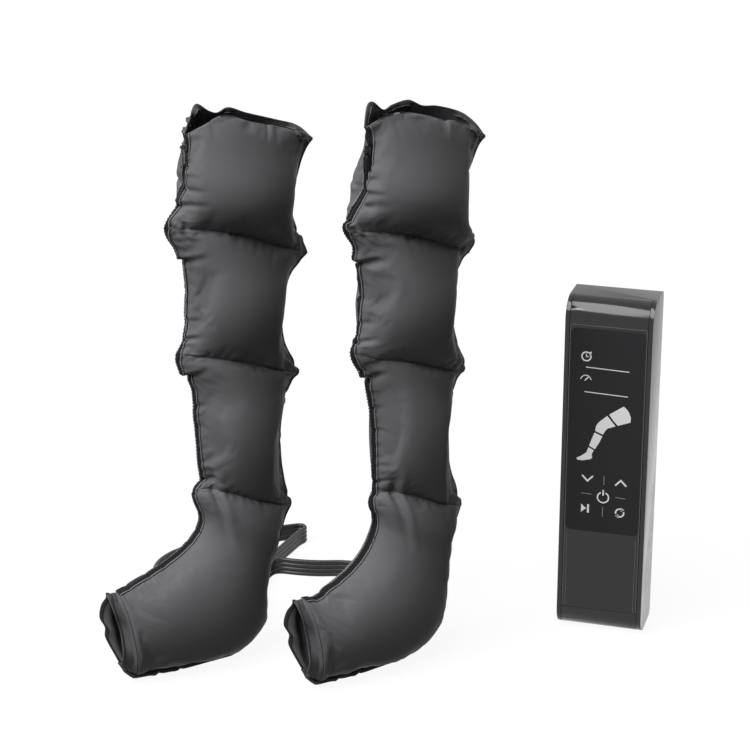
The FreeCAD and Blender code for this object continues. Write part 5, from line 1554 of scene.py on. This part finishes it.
LEFT_CHAMBERS = (
    Chamber("thigh", "top", "thigh", 63.0, 9.5, 56, (0, 0, 0, 0, 0, 0, 2, 6, 8, 10, 10, 6, 2, -1, -2),
            (0, 7, 11, 14, 16, 19, 23, 26, 27, 23, 18, 12, 7, 3, 0)),
    Chamber("knee", "thigh", "knee", 61.0, 7.5, 60, (-2, 0, 5, 13, 20, 25, 27, 26, 24, 22, 20, 16, 11, 6, 1),
            (0, 8, 14, 22, 27, 31, 34, 35, 34, 31, 26, 18, 9, 3, 0)),
    Chamber("calf", "knee", "calf", 54.0, 1.0, 62, (1, -1, 3, 11, 18, 17, 13, 11, 10, 7, 5, 5, 2, -6, -12),
            (0, 8, 13, 18, 21, 23, 25, 25, 23, 20, 16, 12, 7, 3, 0)),
    Chamber("foot", "calf", "toe", 54.0, 0.0, 84, (-12, -6, 6, 22, 32, 37, 37, 33, 27, 21, 16, 11, 8, 3, 0),
            (0, 5, 7, 9, 13, 20, 22, 10, 1, 0, 0, 0, 0, 0, 0)),
)
RIGHT_CHAMBERS = (
    Chamber("thigh", "top", "thigh", 63.0, 9.5, 56,
            (0, 5, 4, 2, 0, -3, -4, -4, -2, -4, -9, -13, -14, -13, -10),
            (0, 9, 13, 16, 20, 24, 28, 30, 28, 22, 15, 9, 8, 12, 16)),
    Chamber("knee", "thigh", "knee", 61.0, 7.5, 60,
            (-10, -4, 4, 6, 8, 12, 15, 14, 10, 7, 4, -1, -8, -13, -13),
            (16, 26, 31, 36, 39, 43, 46, 46, 43, 36, 27, 18, 10, 8, 14)),
    Chamber("calf", "knee", "calf", 54.0, 1.0, 62, (-13, -9, -1, 5, 5, 6, 5, 3, 0, -3, -6, -8, -11, -13, -14),
            (14, 22, 26, 30, 32, 34, 36, 35, 32, 28, 22, 14, 9, 3, 0)),
    Chamber("foot", "calf", "toe", 54.0, 0.0, 84,
            (-14, -12, -4, 10, 21, 28, 34, 36, 34, 29, 24, 22, 16, 6, 0),
            (0, 3, 6, 8, 8, 9, 9, 6, 1, 0, 0, 0, 0, 0, 0)),
)
PLEATS = tuple(Pleat(*row) for row in (
    ("thigh", (0.40, 0.01), (0.36, 0.10), 4.0, 3.2), ("thigh", (0.55, 0.01), (0.49, 0.13), 4.5, 3.4),
    ("thigh", (0.72, 0.01), (0.64, 0.15), 5.5, 3.6), ("thigh", (0.26, 0.01), (0.24, 0.07), 3.0, 3.0),
    ("thigh", (0.80, 0.99), (0.66, 0.90), 5.0, 3.4), ("thigh", (0.99, 0.40), (0.88, 0.42), 2.5, 3.0),
    ("thigh", (0.97, 0.10), (0.86, 0.06), 3.0, 3.2), ("thigh", (0.05, 0.93), (0.16, 0.86), 3.0, 3.6),
    ("thigh", (0.0, 0.62), (0.10, 0.60), 2.5, 3.0), ("thigh", (1.0, 0.44), (0.86, 0.46), 4.0, 3.4),
    ("knee", (0.24, 0.0), (0.16, 0.20), 9.0, 4.5), ("knee", (0.26, 0.99), (0.12, 0.91), 4.5, 3.4),
    ("knee", (0.86, 0.01), (0.80, 0.10), 4.0, 3.2), ("knee", (0.93, 0.99), (0.80, 0.92), 3.5, 3.2),
    ("knee", (0.70, 0.01), (0.67, 0.07), 2.5, 3.0), ("knee", (0.02, 0.06), (0.12, 0.12), 3.0, 3.0),
    ("calf", (0.15, 0.0), (0.08, 0.20), 9.0, 4.5), ("calf", (0.16, 0.99), (0.07, 0.90), 4.0, 3.2),
    ("calf", (0.90, 0.01), (0.86, 0.14), 4.0, 3.4), ("calf", (0.34, 0.01), (0.33, 0.07), 2.5, 3.0),
    ("calf", (0.50, 0.01), (0.51, 0.07), 2.0, 3.0), ("calf", (0.93, 0.99), (0.86, 0.90), 3.0, 3.2),
    ("foot", (0.02, 0.16), (0.30, 0.30), 6.0, 6.0), ("foot", (0.48, 0.99), (0.44, 0.88), 4.5, 4.0),
    ("foot", (0.62, 0.99), (0.61, 0.90), 3.5, 3.6), ("foot", (0.74, 0.99), (0.74, 0.90), 4.0, 3.6),
    ("foot", (0.86, 0.99), (0.85, 0.91), 3.5, 3.4), ("foot", (0.93, 0.99), (0.93, 0.92), 3.0, 3.2),
    ("thigh", (0.5, -0.02), (0.45, -0.14), 4.0, 3.4), ("knee", (0.5, -0.02), (0.48, -0.12), 3.5, 3.4),
    ("calf", (0.5, -0.98), (0.48, -0.88), 3.5, 3.4), ("foot", (0.7, -0.98), (0.68, -0.9), 3.5, 3.4),
))


def main() -> None:
    logging.basicConfig(level=logging.INFO, format="%(name)s %(message)s")
    Studio().build()
    for hose in (RibbonHose(Side.LEFT, LEFT_ROUTE, (-636.9, -40.6), 26.0, 2.0),
                 RibbonHose(Side.RIGHT, RIGHT_ROUTE, (-561.6, -154.6), 20.0, 2.0)):
        hose.build()
    PumpUnit().build()
    for sleeve in (
            Sleeve(Side.LEFT, (-536.7, -304.0, 48.3), 0.0, LEFT_CHAMBERS, LEFT_RIM_NEAR, LEFT_RIM_FAR, 5),
            Sleeve(Side.RIGHT, (-287.6, -243.5, 53.3), 0.025, RIGHT_CHAMBERS, RIGHT_RIM_NEAR,
                   RIGHT_RIM_FAR, 8)):
        sleeve.build()


if __name__ == "__main__":
    main()
